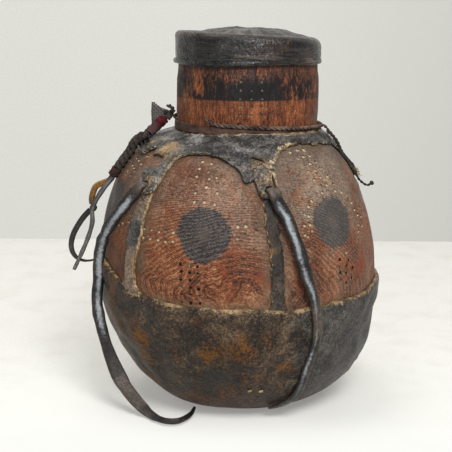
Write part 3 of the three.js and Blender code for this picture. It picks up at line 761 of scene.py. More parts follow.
# Gold-brown patches on the cup, pale ones on the collar and gold ones on the ribs: turn, place and radius
CUP_GOLD = [
    (-48, -0.27, 15), (-48, -0.17, 10), (-53, -0.55, 11), (-28.5, -0.286, 4), (-11, -0.258, 10),
    (1, -0.256, 10), (1.2, -0.19, 5), (-14.5, -0.115, 6), (-6.5, -0.53, 13), (6.8, -0.43, 6),
    (-26, -0.641, 11), (10.5, -0.19, 5), (18.8, -0.358, 6), (-58, -0.07, 12), (-62, -0.22, 14),
    (-65, -0.41, 14), (100, -0.3, 10), (150, -0.2, 9), (200, -0.42, 12), (240, -0.2, 9), (-66, 0.07, 9),
    (-56, 0.0, 8), (-80, -0.1, 7), (-79, -0.3, 7), (-61, -0.52, 11), (-68, -0.6, 8), (-53, -0.68, 11),
    (-16, -0.62, 9), (-39, -0.66, 9), (0, -0.45, 7)]
COLLAR_TAN = [
    (-43.5, 0.73, 10), (-38, 0.68, 4), (-66, 0.77, 5), (-43, 0.5, 6), (11.5, 0.6, 8), (13, 0.53, 8),
    (15, 0.48, 7), (120, 0.8, 10), (225, 0.8, 9)]
RIB_GOLD = [(12.6, 0.27, 5), (12.8, 0.2, 4), (172, 0.2, 8), (243, 0.3, 8)]


def cup_rawhide():
    """Brown-black, grey at the right, with gold patches and a reddish foot."""
    p = Hide("cup_rawhide")
    brown = p.ramp(p.mottle, (0.26, rgb(13, 11, 11)), (0.48, rgb(48, 40, 34)),
                   (0.62, rgb(90, 74, 60)), (0.84, rgb(146, 122, 93)))
    grey = p.ramp(p.mottle, (0.26, rgb(24, 23, 24)), (0.5, rgb(68, 65, 62)), (0.84, rgb(140, 134, 127)))
    tint = p.mix(p.between(p.pushed(p.x, p.blots, 0.05), 0.03, 0.052), brown, grey)
    tint = p.marked(tint, CUP_GOLD, share=0.95, dark=rgb(48, 29, 13), light=rgb(146, 94, 40))
    foot = p.between(p.pushed(p.z, p.blots, 0.02), 0.013, 0.021, 0.9, 0.0)
    tint = p.mix(foot, tint, p.mix(p.specks, rgb(34, 15, 13), rgb(94, 56, 46)))
    return p.ended(tint, gloss=0.38, sheen=0.2, dark=rgb(80, 60, 42), pale=rgb(188, 160, 120), depth=1.3)


def collar_rawhide():
    """Black-grey, pale on its folds high up from wear and from a painted highlight, with tan patches where
    the surface is lost.
    """
    p = Hide("collar_rawhide")
    folds = p.streaks((42, 42, 120), 4, 0.6, 0.8)
    tone = p.tone((folds, 0.75), (p.blots, 0.7), (p.specks, 0.7), (p.grit, 0.8))
    tint = p.ramp(tone, (0.3, rgb(14, 13, 13)), (0.48, rgb(56, 53, 51)),
                  (0.64, rgb(112, 107, 102)), (0.86, rgb(204, 199, 192)))
    # painted highlight with some wear: pale on the folds away from the lower edge, more towards the sides
    rubbed_and_highlight = p.between(p.tone((folds, 1.0), (p.specks, 0.9), (p.grit, 0.8)), 0.5, 0.74)
    rubbed_and_highlight = p.times(p.value("rise"), rubbed_and_highlight, p.between(p.apart(p.x, 0.0), 0.02, 0.045, 0.3, 0.75))
    tint = p.mix(rubbed_and_highlight, tint, p.mix(p.grit, rgb(112, 111, 110), rgb(188, 187, 184)))
    tint = p.marked(tint, COLLAR_TAN, share=1.0, dark=rgb(80, 58, 40), light=rgb(194, 160, 116))
    return p.ended(tint, gloss=0.26, sheen=0.45, dark=rgb(96, 76, 55), pale=rgb(208, 185, 148), depth=1.2)


def rib_rawhide():
    """Dark at the front and right; grey at the left, where its middle part is not frayed."""
    p = Hide("rib_rawhide")
    dark = p.ramp(p.mottle, (0.28, rgb(18, 17, 17)), (0.52, rgb(42, 36, 32)), (0.84, rgb(110, 96, 80)))
    grey = p.ramp(p.mottle, (0.28, rgb(24, 24, 26)), (0.52, rgb(66, 64, 64)), (0.84, rgb(142, 136, 126)))
    frayed = p.ramp(p.mottle, (0.28, rgb(70, 52, 42)), (0.52, rgb(128, 105, 86)), (0.8, rgb(200, 178, 150)))
    level = p.pushed(p.z, p.blots, 0.03)
    grey = p.mix(p.between(level, 0.132, 0.142, 0.85, 0.0), grey, frayed)
    grey = p.mix(p.between(level, 0.157, 0.166, 0.0, 0.65), grey, frayed)
    tint = p.mix(p.between(p.x, -0.04, -0.01, 1.0, 0.0), dark, grey)
    tint = p.marked(tint, RIB_GOLD, share=0.8, dark=rgb(58, 36, 18), light=rgb(160, 114, 60))
    return p.ended(tint, gloss=0.36, sheen=0.34, dark=rgb(96, 72, 46), pale=rgb(196, 166, 122), depth=0.9)


def cap_rawhide():
    """Black and shiny, browner at the right, dusty on top, and creased above the lip, with painted shade in
    the creases and painted highlights on the folds.
    """
    p = Paint("cap_rawhide")
    broad = p.noise(24, 5, 0.62, 0.8)
    specks = p.noise(480, 3, 0.78)
    grit = p.noise(1000, 2, 0.8)
    tint = p.ramp(p.tone((broad, 0.8), (p.noise(110, 5, 0.7), 0.9), (specks, 0.7), (grit, 0.7)),
                  (0.28, rgb(5, 5, 6)), (0.5, rgb(20, 19, 20)), (0.66, rgb(44, 43, 43)),
                  (0.88, rgb(112, 108, 104)))
    brown = p.times(p.between(p.x, -0.02, 0.05), p.between(p.noise(60, 5, 0.65), 0.42, 0.6), 0.5)
    tint = p.mix(brown, tint, p.mix(specks, rgb(36, 24, 20), rgb(104, 76, 62)))
    folds = p.streaks((20, 20, 210), 3, 0.55, 0.6)
    low = p.between(p.z, 0.276, 0.286, 1.0, 0.12)
    crease = p.times(p.between(p.apart(folds, 0.5), 0.0, 0.035, 1.0, 0.0), low)
    # painted shade in the creases
    tint = p.mix(p.times(crease, 0.75), tint, rgb(10, 8, 8))
    # painted highlights on the folds between the creases
    ridge = p.times(p.between(folds, 0.54, 0.64), low, p.between(grit, 0.4, 0.6, 0.15, 0.55))
    tint = p.mix(ridge, tint, rgb(128, 112, 100))
    dust = p.times(p.between(p.z, 0.289, 0.297), p.between(p.noise(46, 5, 0.65), 0.36, 0.64, 0.1, 0.6))
    tint = p.mix(dust, tint, p.mix(specks, rgb(44, 36, 31), rgb(102, 87, 76)))
    height = p.total((p.streaks((34, 34, 120), 5, 0.62, 1.0), 0.8), (p.cells(480), 0.5),
                     (p.noise(150, 5, 0.72), 0.9), (specks, 0.4), (folds, 1.6), (crease, -0.8))
    rough = p.between(broad, 0.32, 0.68, 0.16, 0.3)
    return p.finish(tint, rough, p.bump(height, depth=1.3, strength=0.6), specular=0.44)


def leather(name, dark, shine, worn, gloss, specular=0.4):
    """A leather cord: dark, with a painted highlight along its crest, and worn to another tint by its shade
    value.
    """
    p = Paint(name)
    rub_and_shine = p.noise(70, 5, 0.7, 0.6)
    specks = p.noise(520, 3, 0.78)
    tone = p.tone((rub_and_shine, 0.9), (specks, 0.8))
    tint = p.ramp(tone, (0.4, dark), (0.85, midway(dark, worn)))
    faded = p.ramp(tone, (0.28, midway(worn, dark)), (0.52, worn), (0.86, midway(worn, shine)))
    tint = p.mix(p.between(p.value("shade"), 0.05, 0.95), tint, faded)
    # painted highlight along the crest, broken up by noise
    crest = p.total((p.value("ridge"), 1.0), (rub_and_shine, 0.9), (specks, 0.8))
    tint = p.mix(p.between(crest, 1.35, 1.9, 0.0, 0.85), tint, p.mix(specks, midway(shine, dark), shine))
    height = p.total((p.noise(140, 6, 0.75), 1.5), (p.cells(900), 0.3), (specks, 0.5))
    rough = p.between(rub_and_shine, 0.35, 0.68, gloss + 0.12, gloss - 0.06)
    return p.finish(tint, rough, p.bump(height, depth=0.9, strength=0.7), specular)


def fibre(name, dark, light, rough=0.85, far=None):
    """Twisted fibre or thread, with another tint at its far end if one is given."""
    p = Paint(name)
    hair = p.noise(700, 4, 0.75, 0.3)
    tone = p.tone((hair, 0.9), (p.noise(80, 4), 0.8))
    tint = p.ramp(tone, (0.32, dark), (0.74, light))
    if far:
        faded = p.ramp(tone, (0.3, midway(dark, far)), (0.7, far))
        tint = p.mix(p.between(p.value("shade"), 0.35, 0.7), tint, faded)
    return p.finish(tint, rough, p.bump(hair, depth=0.3, strength=0.7), specular=0.2)


WOOD = carved_wood()
PITS = pit_filling_and_light()
INSIDE = wood_inside()
CUP_HIDE = cup_rawhide()
COLLAR_HIDE = collar_rawhide()
RIB_HIDE = rib_rawhide()
CAP_HIDE = cap_rawhide()
# Leather: a dark, a painted-highlight and a worn tint, and a gloss; fibre and thread: a dark and a light
# tint
BAND_LEATHER = fibre("band_leather", rgb(50, 38, 34), rgb(108, 84, 74), rough=0.6)
THONG = leather("thong_leather", rgb(13, 13, 15), rgb(198, 206, 213), rgb(102, 87, 74), 0.28)
LOOP_LEATHER = leather("loop_leather", rgb(30, 27, 26), rgb(116, 109, 103), rgb(72, 66, 61), 0.46)
TAN_STRAP = leather("tan_strap", rgb(66, 54, 44), rgb(196, 146, 80), rgb(154, 106, 48), 0.5)
TAIL_LEATHER = leather("tail_leather", rgb(52, 50, 49), rgb(150, 146, 142), rgb(104, 100, 96), 0.5, 0.35)
DARK_FIBRE = fibre("dark_fibre", rgb(26, 23, 22), rgb(84, 76, 70))
GREY_FIBRE = fibre("grey_fibre", rgb(50, 48, 46), rgb(112, 106, 100))
RED_THREAD = fibre("red_thread", rgb(36, 11, 14), rgb(108, 36, 41), far=rgb(104, 80, 79))
CORD_FIBRE = fibre("cord_fibre", rgb(42, 32, 28), rgb(140, 118, 104))
BROWN_THREAD = fibre("brown_thread", rgb(42, 29, 26), rgb(98, 70, 61))
STRAW = fibre("straw", rgb(132, 104, 66), rgb(196, 170, 126), rough=0.7)


# The camera, as the photograph was taken

PITCH, YAW, ROLL = 0.19257, -0.0101, 0.00513
CAMERA_PLACE = (-8.15, -851.04, 305.48)
LENS = 84.45
SENSOR_WIDTH = 36


def add_camera():
    right = np.array([math.cos(YAW), -math.sin(YAW), 0])
    ahead = np.array([math.sin(YAW), math.cos(YAW), 0])
    upright = np.array([0, 0, 1.0])
    forward = ahead * math.cos(PITCH) - upright * math.sin(PITCH)
    up = ahead * math.sin(PITCH) + upright * math.cos(PITCH)
    across = right * math.cos(ROLL) + up * math.sin(ROLL)
    upward = up * math.cos(ROLL) - right * math.sin(ROLL)
    data = bpy.data.cameras.new("camera")
    data.lens = LENS
    data.sensor_width = SENSOR_WIDTH
    camera = placed("camera", data)
    axes = Matrix(np.column_stack([across, upward, -forward]).tolist()).to_4x4()
    camera.matrix_world = Matrix.Translation([x * MM for x in CAMERA_PLACE]) @ axes
    bpy.context.scene.camera = camera


add_camera()


# Cords, on the routes of the CAD source

def beyond(start, through, distance):
    """A point past the second of two points, on the line through both."""
    return through + unit(through - start) * distance


def from_knot(x, y, z):
    return KNOT_MIDDLE + KNOT_RADIUS * np.array([x, y, z], float)


def beside_tie(x, y, z):
    return TIE_MIDDLE + unit(np.array([x, y, z], float)) * (TIE_RADIUS + FIT_GAP)


def tail_start(distance, sideways):
    return beyond(WHIPPING_START, TAILS_START, distance) + np.array([0, sideways, 0])


def slot_exit(turn):
    return [on_wood(turn, SLOT_PLACE, 1.8), on_wood(turn, SLOT_PLACE - 0.003, CUP_TOP + THONG_THICKNESS / 2)]


def cord_level(turn):
    """Height of the cord round the neck."""
    return NECK_CORD_HEIGHT - NECK_CORD_TILT * NECK_RADIUS * np.sin(np.radians(turn))


KNOT_MIDDLE = on_neck(KNOT_TURN, NECK_CORD_HEIGHT + 4.9, KNOT_RADIUS + BAND_THICKNESS + 2 * FIT_GAP)
WRAP_END = from_knot(-3.35, -2.24, -3.04)
WRAP_START = beyond(WRAP_END, KNOT_MIDDLE, -KNOT_RADIUS - FIT_GAP)
BRAID_LIFT = BRAID_DIAMETER / 2 + SKIN_TOP - CUP_TOP + FIT_GAP
BRAID_ROUTE = [beyond(WRAP_START, WRAP_END, FIT_GAP), beyond(WRAP_START, WRAP_END, BRAID_DIAMETER / 2)] + [
    on_skin(turn, place, BRAID_LIFT + lift) for turn, place, lift in (
        (-76, 0.75, FIT_GAP), (-76, 0.7, 0), (-76, 0.64, -2.6), (-76, 0.58, -2.6), (-77, 0.54, -2.6),
        (-77.6, 0.515, -2.6))]
WHIPPING_START = beyond(BRAID_ROUTE[-2], BRAID_ROUTE[-1], FIT_GAP)
WHIPPING_END = beyond(BRAID_ROUTE[-2], BRAID_ROUTE[-1], 7)
TAILS_START = beyond(WHIPPING_START, WHIPPING_END, FIT_GAP)
TIE_MIDDLE = in_air(-79.4, 1.036, 1.49)
UPPER_LOOP_ROUTE = [tail_start(0, 1.7), tail_start(LOOP_WIDTH, 1.7)] + [in_air(*point) for point in (
    (-78.7, 1.012, 1.655), (-79, 1.036, 1.605), (-79.2, 1.045, 1.56))] + [beside_tie(-0.2, 0, 1)]
LOWER_LOOP_ROUTE = [beside_tie(-1, 0.1, -0.8)] + [in_air(*point) for point in (
    (-81.2, 1.1, 1.42), (-82.3, 1.145, 1.35), (-84, 1.185, 1.264), (-85.7, 1.203, 1.175),
    (-87.4, 1.193, 1.105), (-89.4, 1.165, 1.055), (-92, 1.127, 1.025), (-95.5, 1.09, 1.012))] + [
    on_skin(-99, 0.01, LOOP_WIDTH / 2 + FIT_GAP)]
STRAIGHT_TAIL_ROUTE = [
    tail_start(FIT_GAP, -2.4), tail_start(LOOP_WIDTH, -2.4), in_air(-76, 0.995, 1.6),
    TIE_MIDDLE - np.array([0, TIE_RADIUS + TAIL_DIAMETER / 2 + FIT_GAP, 0])] + [in_air(*point) for point in (
        (-76.4, 1.05, 1.388), (-76.8, 1.084, 1.265), (-77.4, 1.133, 1.142), (-77.9, 1.184, 1.025))]
THONG_LIFT = THONG_THICKNESS / 2 + 1
FRONT_THONG_ROUTE = slot_exit(RIB_TURNS["front"]) + [
    on_skin(15.4, 0.463, THONG_LIFT + 1.6), on_skin(16.2, 0.43, THONG_LIFT + 1)] + [
    on_skin(turn, place, THONG_LIFT) for turn, place in (
        (17.4, 0.395), (19.2, 0.359), (20.6, 0.31), (21.8, 0.262), (23.2, 0.211), (24.3, 0.146),
        (25.4, 0.095), (27, 0.037), (28.4, -0.025), (29.3, -0.085), (29.9, -0.141), (29.9, -0.201),
        (29.2, -0.259), (28.2, -0.325), (27.5, -0.398), (27.6, -0.478), (27, -0.555), (24.6, -0.628),
        (20, -0.68), (15.2, -0.709))]
FLOOR_RISE = (LEFT_THONG_WIDTH / 2 + FIT_GAP) / BELLY_HEIGHT
LEFT_THONG_ROUTE = slot_exit(RIB_TURNS["left"]) + [
    on_skin(-44.2, 0.463, THONG_LIFT + 1.6), on_skin(-45.8, 0.435, THONG_LIFT + 1)] + [
    on_skin(turn, place, THONG_LIFT) for turn, place in (
        (-48.8, 0.395), (-51.6, 0.35), (-55.4, 0.299), (-60, 0.239), (-64.5, 0.165), (-67.5, 0.08),
        (-68.5, 0))] + [
    in_air(*point) for point in (
        (-67.7, 1.055, 0.815), (-64.9, 1.035, 0.611), (-60.9, 0.995, 0.402), (-56.3, 0.95, 0.24),
        (-50.5, 0.905, 0.126), (-44.3, 0.88, 1.4 * FLOOR_RISE), (-37.5, 0.895, FLOOR_RISE),
        (-31, 0.905, FLOOR_RISE), (-27, 0.872, FLOOR_RISE), (-25.4, 0.8, FLOOR_RISE),
        (-25.6, 0.7, FLOOR_RISE), (-27.5, 0.61, 1.3 * FLOOR_RISE))]
RIGHT_CORD_ROUTE = [on_neck(80, NECK_CORD_HEIGHT - 3, NECK_CORD_DIAMETER + RIGHT_CORD_DIAMETER)] + [
    on_skin(*point) for point in (
        (83, 0.87, 2.6), (83.5, 0.8, 1.5), (84, 0.715, 1.5), (84, 0.64, -0.9), (84, 0.579, -0.9),
        (84, 0.543, 0.1), (84, 0.51, -0.4), (84, 0.463, -1.3), (84, 0.435, 0), (84, 0.408, 3.3),
        (84, 0.412, 8.2))]
RIGHT_STRAND_ROUTE = [on_skin(*point) for point in (
    (78, 0.86, 1.5), (79, 0.78, 1.4), (79.5, 0.71, 1.2), (80, 0.64, -1.4), (80.5, 0.58, -1.5),
    (81.3, 0.53, -1.5), (82.2, 0.48, -1.5))]


def declare_cord(made, line, with_pieces=()):
    """Works out a cord's line in metres, and does nothing more with it."""
    path = [[float(x) * MM for x in point] for point in line]


# Degrees round a strap's ring
CREST_WIDTH = 36
FACE_MIDDLE = 90


def crest_at(middle, sides):
    """How near each point of a strap's ring is to the crest where a highlight is painted, in degrees from
    the strap's edge.
    """
    return bell(wrapped(np.arange(sides) * 360 / sides - middle), 0, CREST_WIDTH)


# The way that the flat of a thong faces when it lies towards the viewer
FRONTWARD = np.array([0.0, -0.94, 0.34])
# Shares past a thong's end, so that it never turns to the front
NEVER_FACED = (2, 3)
KNOB_COUNT = 46


def add_thong(name, route, turn, faced, crest, shape_table):
    """A flat leather thong that turns to the front between the two shares in faced. Its table gives width,
    thickness, twist, shine and brown at shares of its length."""
    line = route_points(route, 1.2)
    share = np.linspace(0, 1, len(line))
    random = np.random.default_rng(len(line))
    knobs = np.interp(share, np.linspace(0, 1, KNOB_COUNT), random.normal(0, 1, KNOB_COUNT))
    table = np.array(shape_table)
    widths, thick, twist, shine, brown = (np.interp(share, table[:, 0], column) for column in table[:, 1:].T)
    side = turned(turn + 90, 1, 0)
    across, face = frames_along(line, side)
    to_front = np.degrees(np.arctan2(-(across @ FRONTWARD), face @ FRONTWARD))
    twist = twist + to_front * smooth(share, *faced)
    widths = widths * (1 + 0.06 * knobs)
    thick = thick * (1 + 0.09 * np.roll(knobs, 9))
    shape = Loose()
    rings = strap_rings(line, side, widths, thick, 0.12, twist, THONG_SIDES)
    shape.add_rings(rings, brown, crest_at(crest, THONG_SIDES) * shine[:, None])
    declare_cord(shape.piece(name, "black_leather", THONG), line)


add_thong("front_thong", FRONT_THONG_ROUTE, RIB_TURNS["front"], NEVER_FACED, 108, [
    (0, 8, 3.6, 0, 0, 0.5), (0.03, 9.5, 5.2, 0, 0, 0.6), (0.05, 9.6, 5.2, 0, 0.1, 0.4),
    (0.07, 9.6, 5.2, 0, 0.8, 0), (0.12, 9.8, 4.8, 6, 1, 0), (0.3, 9.4, 4.8, 10, 0.9, 0),
    (0.42, 8.2, 4.8, -8, 0.9, 0.1), (0.5, 7.6, 4.8, 10, 0.7, 0.6), (0.55, 7.4, 4.8, 16, 0.7, 0.7),
    (0.62, 6.8, 4.6, 24, 0.75, 0.2), (0.7, 6.2, 4.6, 30, 0.8, 0.1), (0.85, 6.4, 4.2, 20, 0.7, 0.1),
    (0.95, 7.4, 3.4, 8, 0.3, 0.2), (1, 5, 2, 0, 0.1, 0.3)])
add_thong("left_thong", LEFT_THONG_ROUTE, RIB_TURNS["left"], (0.0, 0.06), 80, [
    (0, 7, 3.4, 0, 0, 0.5), (0.03, 8.6, 4.8, 0, 0, 0.6), (0.05, 9.2, 4.8, 0, 0.5, 0.2),
    (0.08, 9.4, 4.8, 0, 1, 0), (0.2, 9, 4.6, 0, 1, 0), (0.436, 9, 4.4, 0, 1, 0),
    (0.5, 9.2, 4.2, 6, 0.9, 0), (0.55, 9.6, 4, 8, 0.5, 0.1), (0.64, 10.4, 3.6, -6, 0.3, 0.15),
    (0.66, 10.8, 3.2, -8, 0.1, 0.5), (0.7, 11.2, 3, -10, 0.1, 0.6), (0.76, 10, 3, 14, 0.15, 0.5),
    (0.795, 7.6, 3, 30, 0.3, 0.3), (0.83, 5.2, 3, 10, 0.4, 0.1), (0.94, 4.2, 2.6, 0, 0.3, 0.1),
    (1, 2.4, 1.4, 0, 0.2, 0.2)])


CORE_RADIUS = 2.6


def add_winding(name, material, start, end, thread, wander):
    """A thread wound round a core."""
    shape = Loose()
    tube(shape, route_points([start, end], 0.8), CORE_RADIUS)
    coil(shape, start, end, WRAP_DIAMETER / 2, thread, wander)
    return shape.piece(name, "red_thread", material)


def add_strap(name, slot, material, line, side, width, thick, groove, shade, shine):
    shape = Loose()
    rings = strap_rings(line, side, width, thick, groove)
    shape.add_rings(rings, shade, crest_at(FACE_MIDDLE, STRAP_SIDES) * shine)
    return shape.piece(name, slot, material)


def add_tie():
    """Three wavy loops of cord that cross each other."""
    tie = Loose()
    ring = np.linspace(0, 2 * np.pi, 40)
    loop = np.stack([np.cos(ring), np.sin(ring), 0.25 * np.sin(3 * ring)], axis=1) * (TIE_RADIUS - 0.7)
    for angle in np.radians([0, 62, 118]):
        cosine, sine = math.cos(angle), math.sin(angle)
        spin = np.array([[cosine, 0, sine], [0, 1, 0], [-sine, 0, cosine]])
        tube(tie, TIE_MIDDLE + loop @ spin.T, 0.85)
    return tie.piece("tail_tie", "dark_fibre", DARK_FIBRE)


def add_braid():
    """The braid with its windings, and the tails that come out of it."""
    line = route_points(BRAID_ROUTE, 0.5)
    shape = Loose()
    side = np.array([0.4, -0.9, 0.1])
    braided(shape, line, side, width=BRAID_WIDTH + 2, thickness=8, pitch=14)
    braid = shape.piece("side_braid", "dark_fibre", DARK_FIBRE)
    wrap = add_winding("knot_wrap", RED_THREAD, WRAP_START, WRAP_END, thread=1.5, wander=0.09)
    whipping = add_winding("braid_whipping", BROWN_THREAD, WHIPPING_START, WHIPPING_END,
                           thread=1.4, wander=0.08)
    upper_line = route_points(UPPER_LOOP_ROUTE, 0.7)
    upper = add_strap("upper_loop", "tan_leather", TAN_STRAP, upper_line, side=(1, 0, 0.8),
                      width=LOOP_WIDTH + 1, thick=2, groove=0.1,
                      shade=np.linspace(1, 0.2, len(upper_line)), shine=0.7)
    declare_cord(braid, line, [wrap, whipping, upper, add_tie()])

    line = route_points(LOWER_LOOP_ROUTE, 1.0)
    lower = add_strap("lower_loop", "black_leather", LOOP_LEATHER, line, side=(1, 0, -0.8),
                      width=LOOP_WIDTH + 0.2, thick=1.8, groove=0.15,
                      shade=np.linspace(0, 0.7, len(line)), shine=0.6)
    declare_cord(lower, line)

    line = route_points(STRAIGHT_TAIL_ROUTE, 0.8)
    share = np.linspace(0, 1, len(line))
    width = np.interp(share, [0, 0.3, 0.8, 1], [4.6, 3.8, 3.6, 2.8]) + 0.25 * np.sin(41 * share)
    tail = add_strap("straight_tail", "grey_fibre", TAIL_LEATHER, line, side=(1, 0, 0.3), width=width,
                     thick=2.2, groove=0.1, shade=0.2 + 0.6 * share, shine=0.8)
    declare_cord(tail, line)


add_braid()


def add_right_cords():
    """The cord with a knob at its end, the strand that meets it, and fluff where they meet."""
    line = route_points(RIGHT_CORD_ROUTE, 0.5)
    shape = Loose()
    twisted(shape, line, RIGHT_CORD_DIAMETER - 0.5, pitch=3.2)
    knob = route_points([line[-6], line[-3], line[-1] + (line[-1] - line[-9]) * 0.12], 0.3)
    swelling = np.clip(np.sin(np.linspace(0.15, 3.0, len(knob))), 0.05, 1)
    tube(shape, knob, 2.0 * np.sqrt(swelling), 10)
    declare_cord(shape.piece("right_cord", "dark_fibre", DARK_FIBRE), line)

    strand_line = route_points(RIGHT_STRAND_ROUTE, 0.5)
    shape = Loose()
    twisted(shape, strand_line, RIGHT_CORD_DIAMETER - 0.5, pitch=3.2)
    strand = shape.piece("right_cord_strand", "dark_fibre", DARK_FIBRE)
    declare_cord(strand, strand_line)

    random = np.random.default_rng(19)
    fluff = Loose()
    for _ in range(26):
        root = line[int(len(line) * random.uniform(0.66, 0.76))]
        away = random.normal(0, 1, 3) + (0.9, -0.2, 0.9)
        reach = random.uniform(2, 4.2) / np.linalg.norm(away)
        bend = root + away * reach * 0.6 + random.normal(0, 0.5, 3)
        tube(fluff, route_points([root, bend, root + away * reach], 0.5), 0.2, 5)
    fluff.piece("cord_fluff", "tan_leather", STRAW, nodes=[])


add_right_cords()


# The harness of rawhide

# The collar's lower edge as turn and height, where it is seen: pendants over the ribs, arches between them
COLLAR_EDGE = [
    (-78, 206), (-70, 204), (-64, 202.4), (-61.6, 203), (-58.5, 205.8), (-55, 207.6), (-52.8, 208.2),
    (-51, 207), (-49.4, 203), (-48.2, 194), (-47.4, 184), (-46.6, 178.6), (-45.4, 177), (-43.2, 176.6),
    (-40.6, 177), (-38.6, 177.6), (-37.4, 180), (-36.2, 185.3), (-35, 193.1), (-33.8, 198.4), (-32.8, 201.6),
    (-31, 203.4), (-27.5, 205.8), (-22, 206.5), (-17.2, 206.4), (-9, 204.5), (-4, 201.6), (-0.5, 198.8),
    (2.2, 194.9), (3.2, 189.1), (4.5, 188), (6.4, 188.8), (8, 190), (8.8, 186.5), (9.6, 181), (10.8, 178.2),
    (12, 177.6), (14.5, 176.8), (17, 177.4), (17.9, 180), (18, 183), (17, 189.6), (16.5, 193.6), (18.2, 198),
    (21.8, 203.6), (24, 208.2), (29, 210.8), (32.2, 211.6), (38.2, 212.8), (44, 211.8), (50, 210.4),
    (56.2, 211), (63.8, 210.4), (70, 209.3), (78, 208.6), (88, 207), (94, 203), (97.2, 196), (98.6, 186),
    (99.4, 179), (103, 177), (106.6, 178), (107.4, 184), (108.2, 192)]
# The plain windows round the back: first turn, last turn and top
BACK_WINDOWS = [(108.4, 166.4, 208.5), (177.6, 237.4, 208.5), (248.6, 312.2, 209)]
# The turn where the seen edge takes over again
BACK_END = 281
# The collar's upper lip rises over the band at the front and right
LIP_TURNS = [-180, -60, -30, -5, 20, 45, 90, 140, 180]
LIP_RISES = [0, 0, 1.2, 2.4, 2.4, 1.8, 1.2, 0.6, 0]
LIP_PLACE = place_at_radius(NECK_RADIUS + 2.5)
# How much of the cut edge is worn pale, and how far in, at turns round the collar
PALE_TURNS = [-180, -66, -60, -50, -47, -39, -36, -24, -10, 0, 6, 15, 16.5, 24, 31, 40, 55, 66, 90, 180]
PALE_SHARES = [0.4, 0.4, 0.6, 0.4, 0.3, 0.45, 0.75, 0.5, 0.3, 0.2, 0.15, 0.3, 1.0, 1.0, 0.7, 0.25, 0.5, 0.45,
               0.4, 0.4]
FADE_TURNS = [-180, 14, 17, 30, 34, 180]
FADE_DEPTHS = [1.8, 1.8, 3.4, 3.4, 1.8, 1.8]
# The cup's rim, and how pale it is
RIM_TURNS = [-180, -120, -96, -80, -70, -62, -55, -50, -46, -42, -33, -25, -14, -3.5, 13, 19, 25, 43, 56, 71,
             90, 130, 180]
RIM_HEIGHTS = [100.5, 101, 108, 120, 120.5, 118, 113, 108.5, 106, 105, 103, 100.9, 100.1, 99.9, 99.9, 97.6,
               98.6, 99.3, 99.8, 102.6, 103.5, 102, 100.5]
RIM_PALE_TURNS = [-180, -110, -95, -52, -45, -32, 180]
RIM_PALE_SHARES = [0.66, 0.66, 0.2, 0.2, 0.9, 0.7, 0.66]


def collar_edge():
    """Turns and heights of the collar's whole lower edge."""
    edge = list(COLLAR_EDGE)
    foot = PENDANT_HEIGHT + 3
    for first, last, top in BACK_WINDOWS:
        for angle in np.linspace(np.pi, 0, 25):
            across = squared(math.cos(angle), 0.62)
            up = abs(math.sin(angle)) ** 0.72
            edge.append(((first + last) / 2 + across * (last - first) / 2, foot + (top - foot) * up))
        edge += [(last + 1.2, PENDANT_HEIGHT + 0.4), (last + 4.5, PENDANT_HEIGHT - 0.4)]
    turns, heights = np.array(sorted(point for point in edge if point[0] < BACK_END)).T
    return np.append(turns, turns[0] + 360), np.append(heights, heights[0])


EDGE_TURNS, EDGE_HEIGHTS = collar_edge()


def collar_low(turn):
    """Height of the collar's lower edge."""
    turn = wrapped(turn, EDGE_TURNS[0])
    height = np.interp(turn, EDGE_TURNS, EDGE_HEIGHTS)
    return height + 0.25 * edge_relief(turn, 40) + 0.25 * fine_relief(turn, 90)


def cup_rim(turn):
    """Height of the cup's rim."""
    turn = wrapped(turn)
    height = np.interp(turn, RIM_TURNS, RIM_HEIGHTS)
    return height + 0.3 * edge_relief(turn, 0) + 0.35 * fine_relief(turn, 0)


def edge_distance(points):
    """Distance of points on the wood from the collar's lower edge."""
    turns = np.arange(-180, 180, 0.1)
    tree = KDTree(len(turns))
    for index, point in enumerate(on_wood(turns, place_at_height(collar_low(turns)))):
        tree.insert(point, index)
    tree.balance()
    return np.array([tree.find(point)[2] for point in points.reshape(-1, 3)]).reshape(points.shape[:-1])


def rib_offset(turn):
    """Degrees from the middle of the nearest rib."""
    away = [wrapped(np.asarray(turn, float) - rib) for rib in RIB_TURNS.values()]
    return np.min(np.abs(away), axis=0)


def cut_out(made, cutters):
    """Cuts closed forms out of a piece, and applies the cut."""
    cutter = placed("cutter", cutters.mesh("cutter"))
    change = made.modifiers.new("cut", "BOOLEAN")
    change.object = cutter
    change.operation = "DIFFERENCE"
    change.solver = "MANIFOLD"
    ready = made.evaluated_get(bpy.context.evaluated_depsgraph_get())
    old = made.data
    made.data = bpy.data.meshes.new_from_object(ready)
    made.modifiers.clear()
    bpy.data.objects.remove(cutter)
    bpy.data.meshes.remove(old)


# Holes in the collar: turn, height, lean, width, height and depth of the hole, and its sides.
# They are the two thong slots, the slit in the front pendant, the notch at the left and four small holes.
COLLAR_HOLES = [
    (RIB_TURNS["front"], SLOT_HEIGHT, 0, 10, 5.2, 9, 14), (RIB_TURNS["left"], SLOT_HEIGHT, 0, 8, 5.2, 9, 14),
    (11, 203.2, 0.3, 11, 2.4, 8, 14), (-45.4, 199, 0.2, 14, 14, 7, 14)] + [
    (turn, height, 0, 1.7, 1.5, 6, 8) for turn, height in (
        (-48.8, 211), (-43.6, 210.6), (-67, 212), (8.3, 197))]


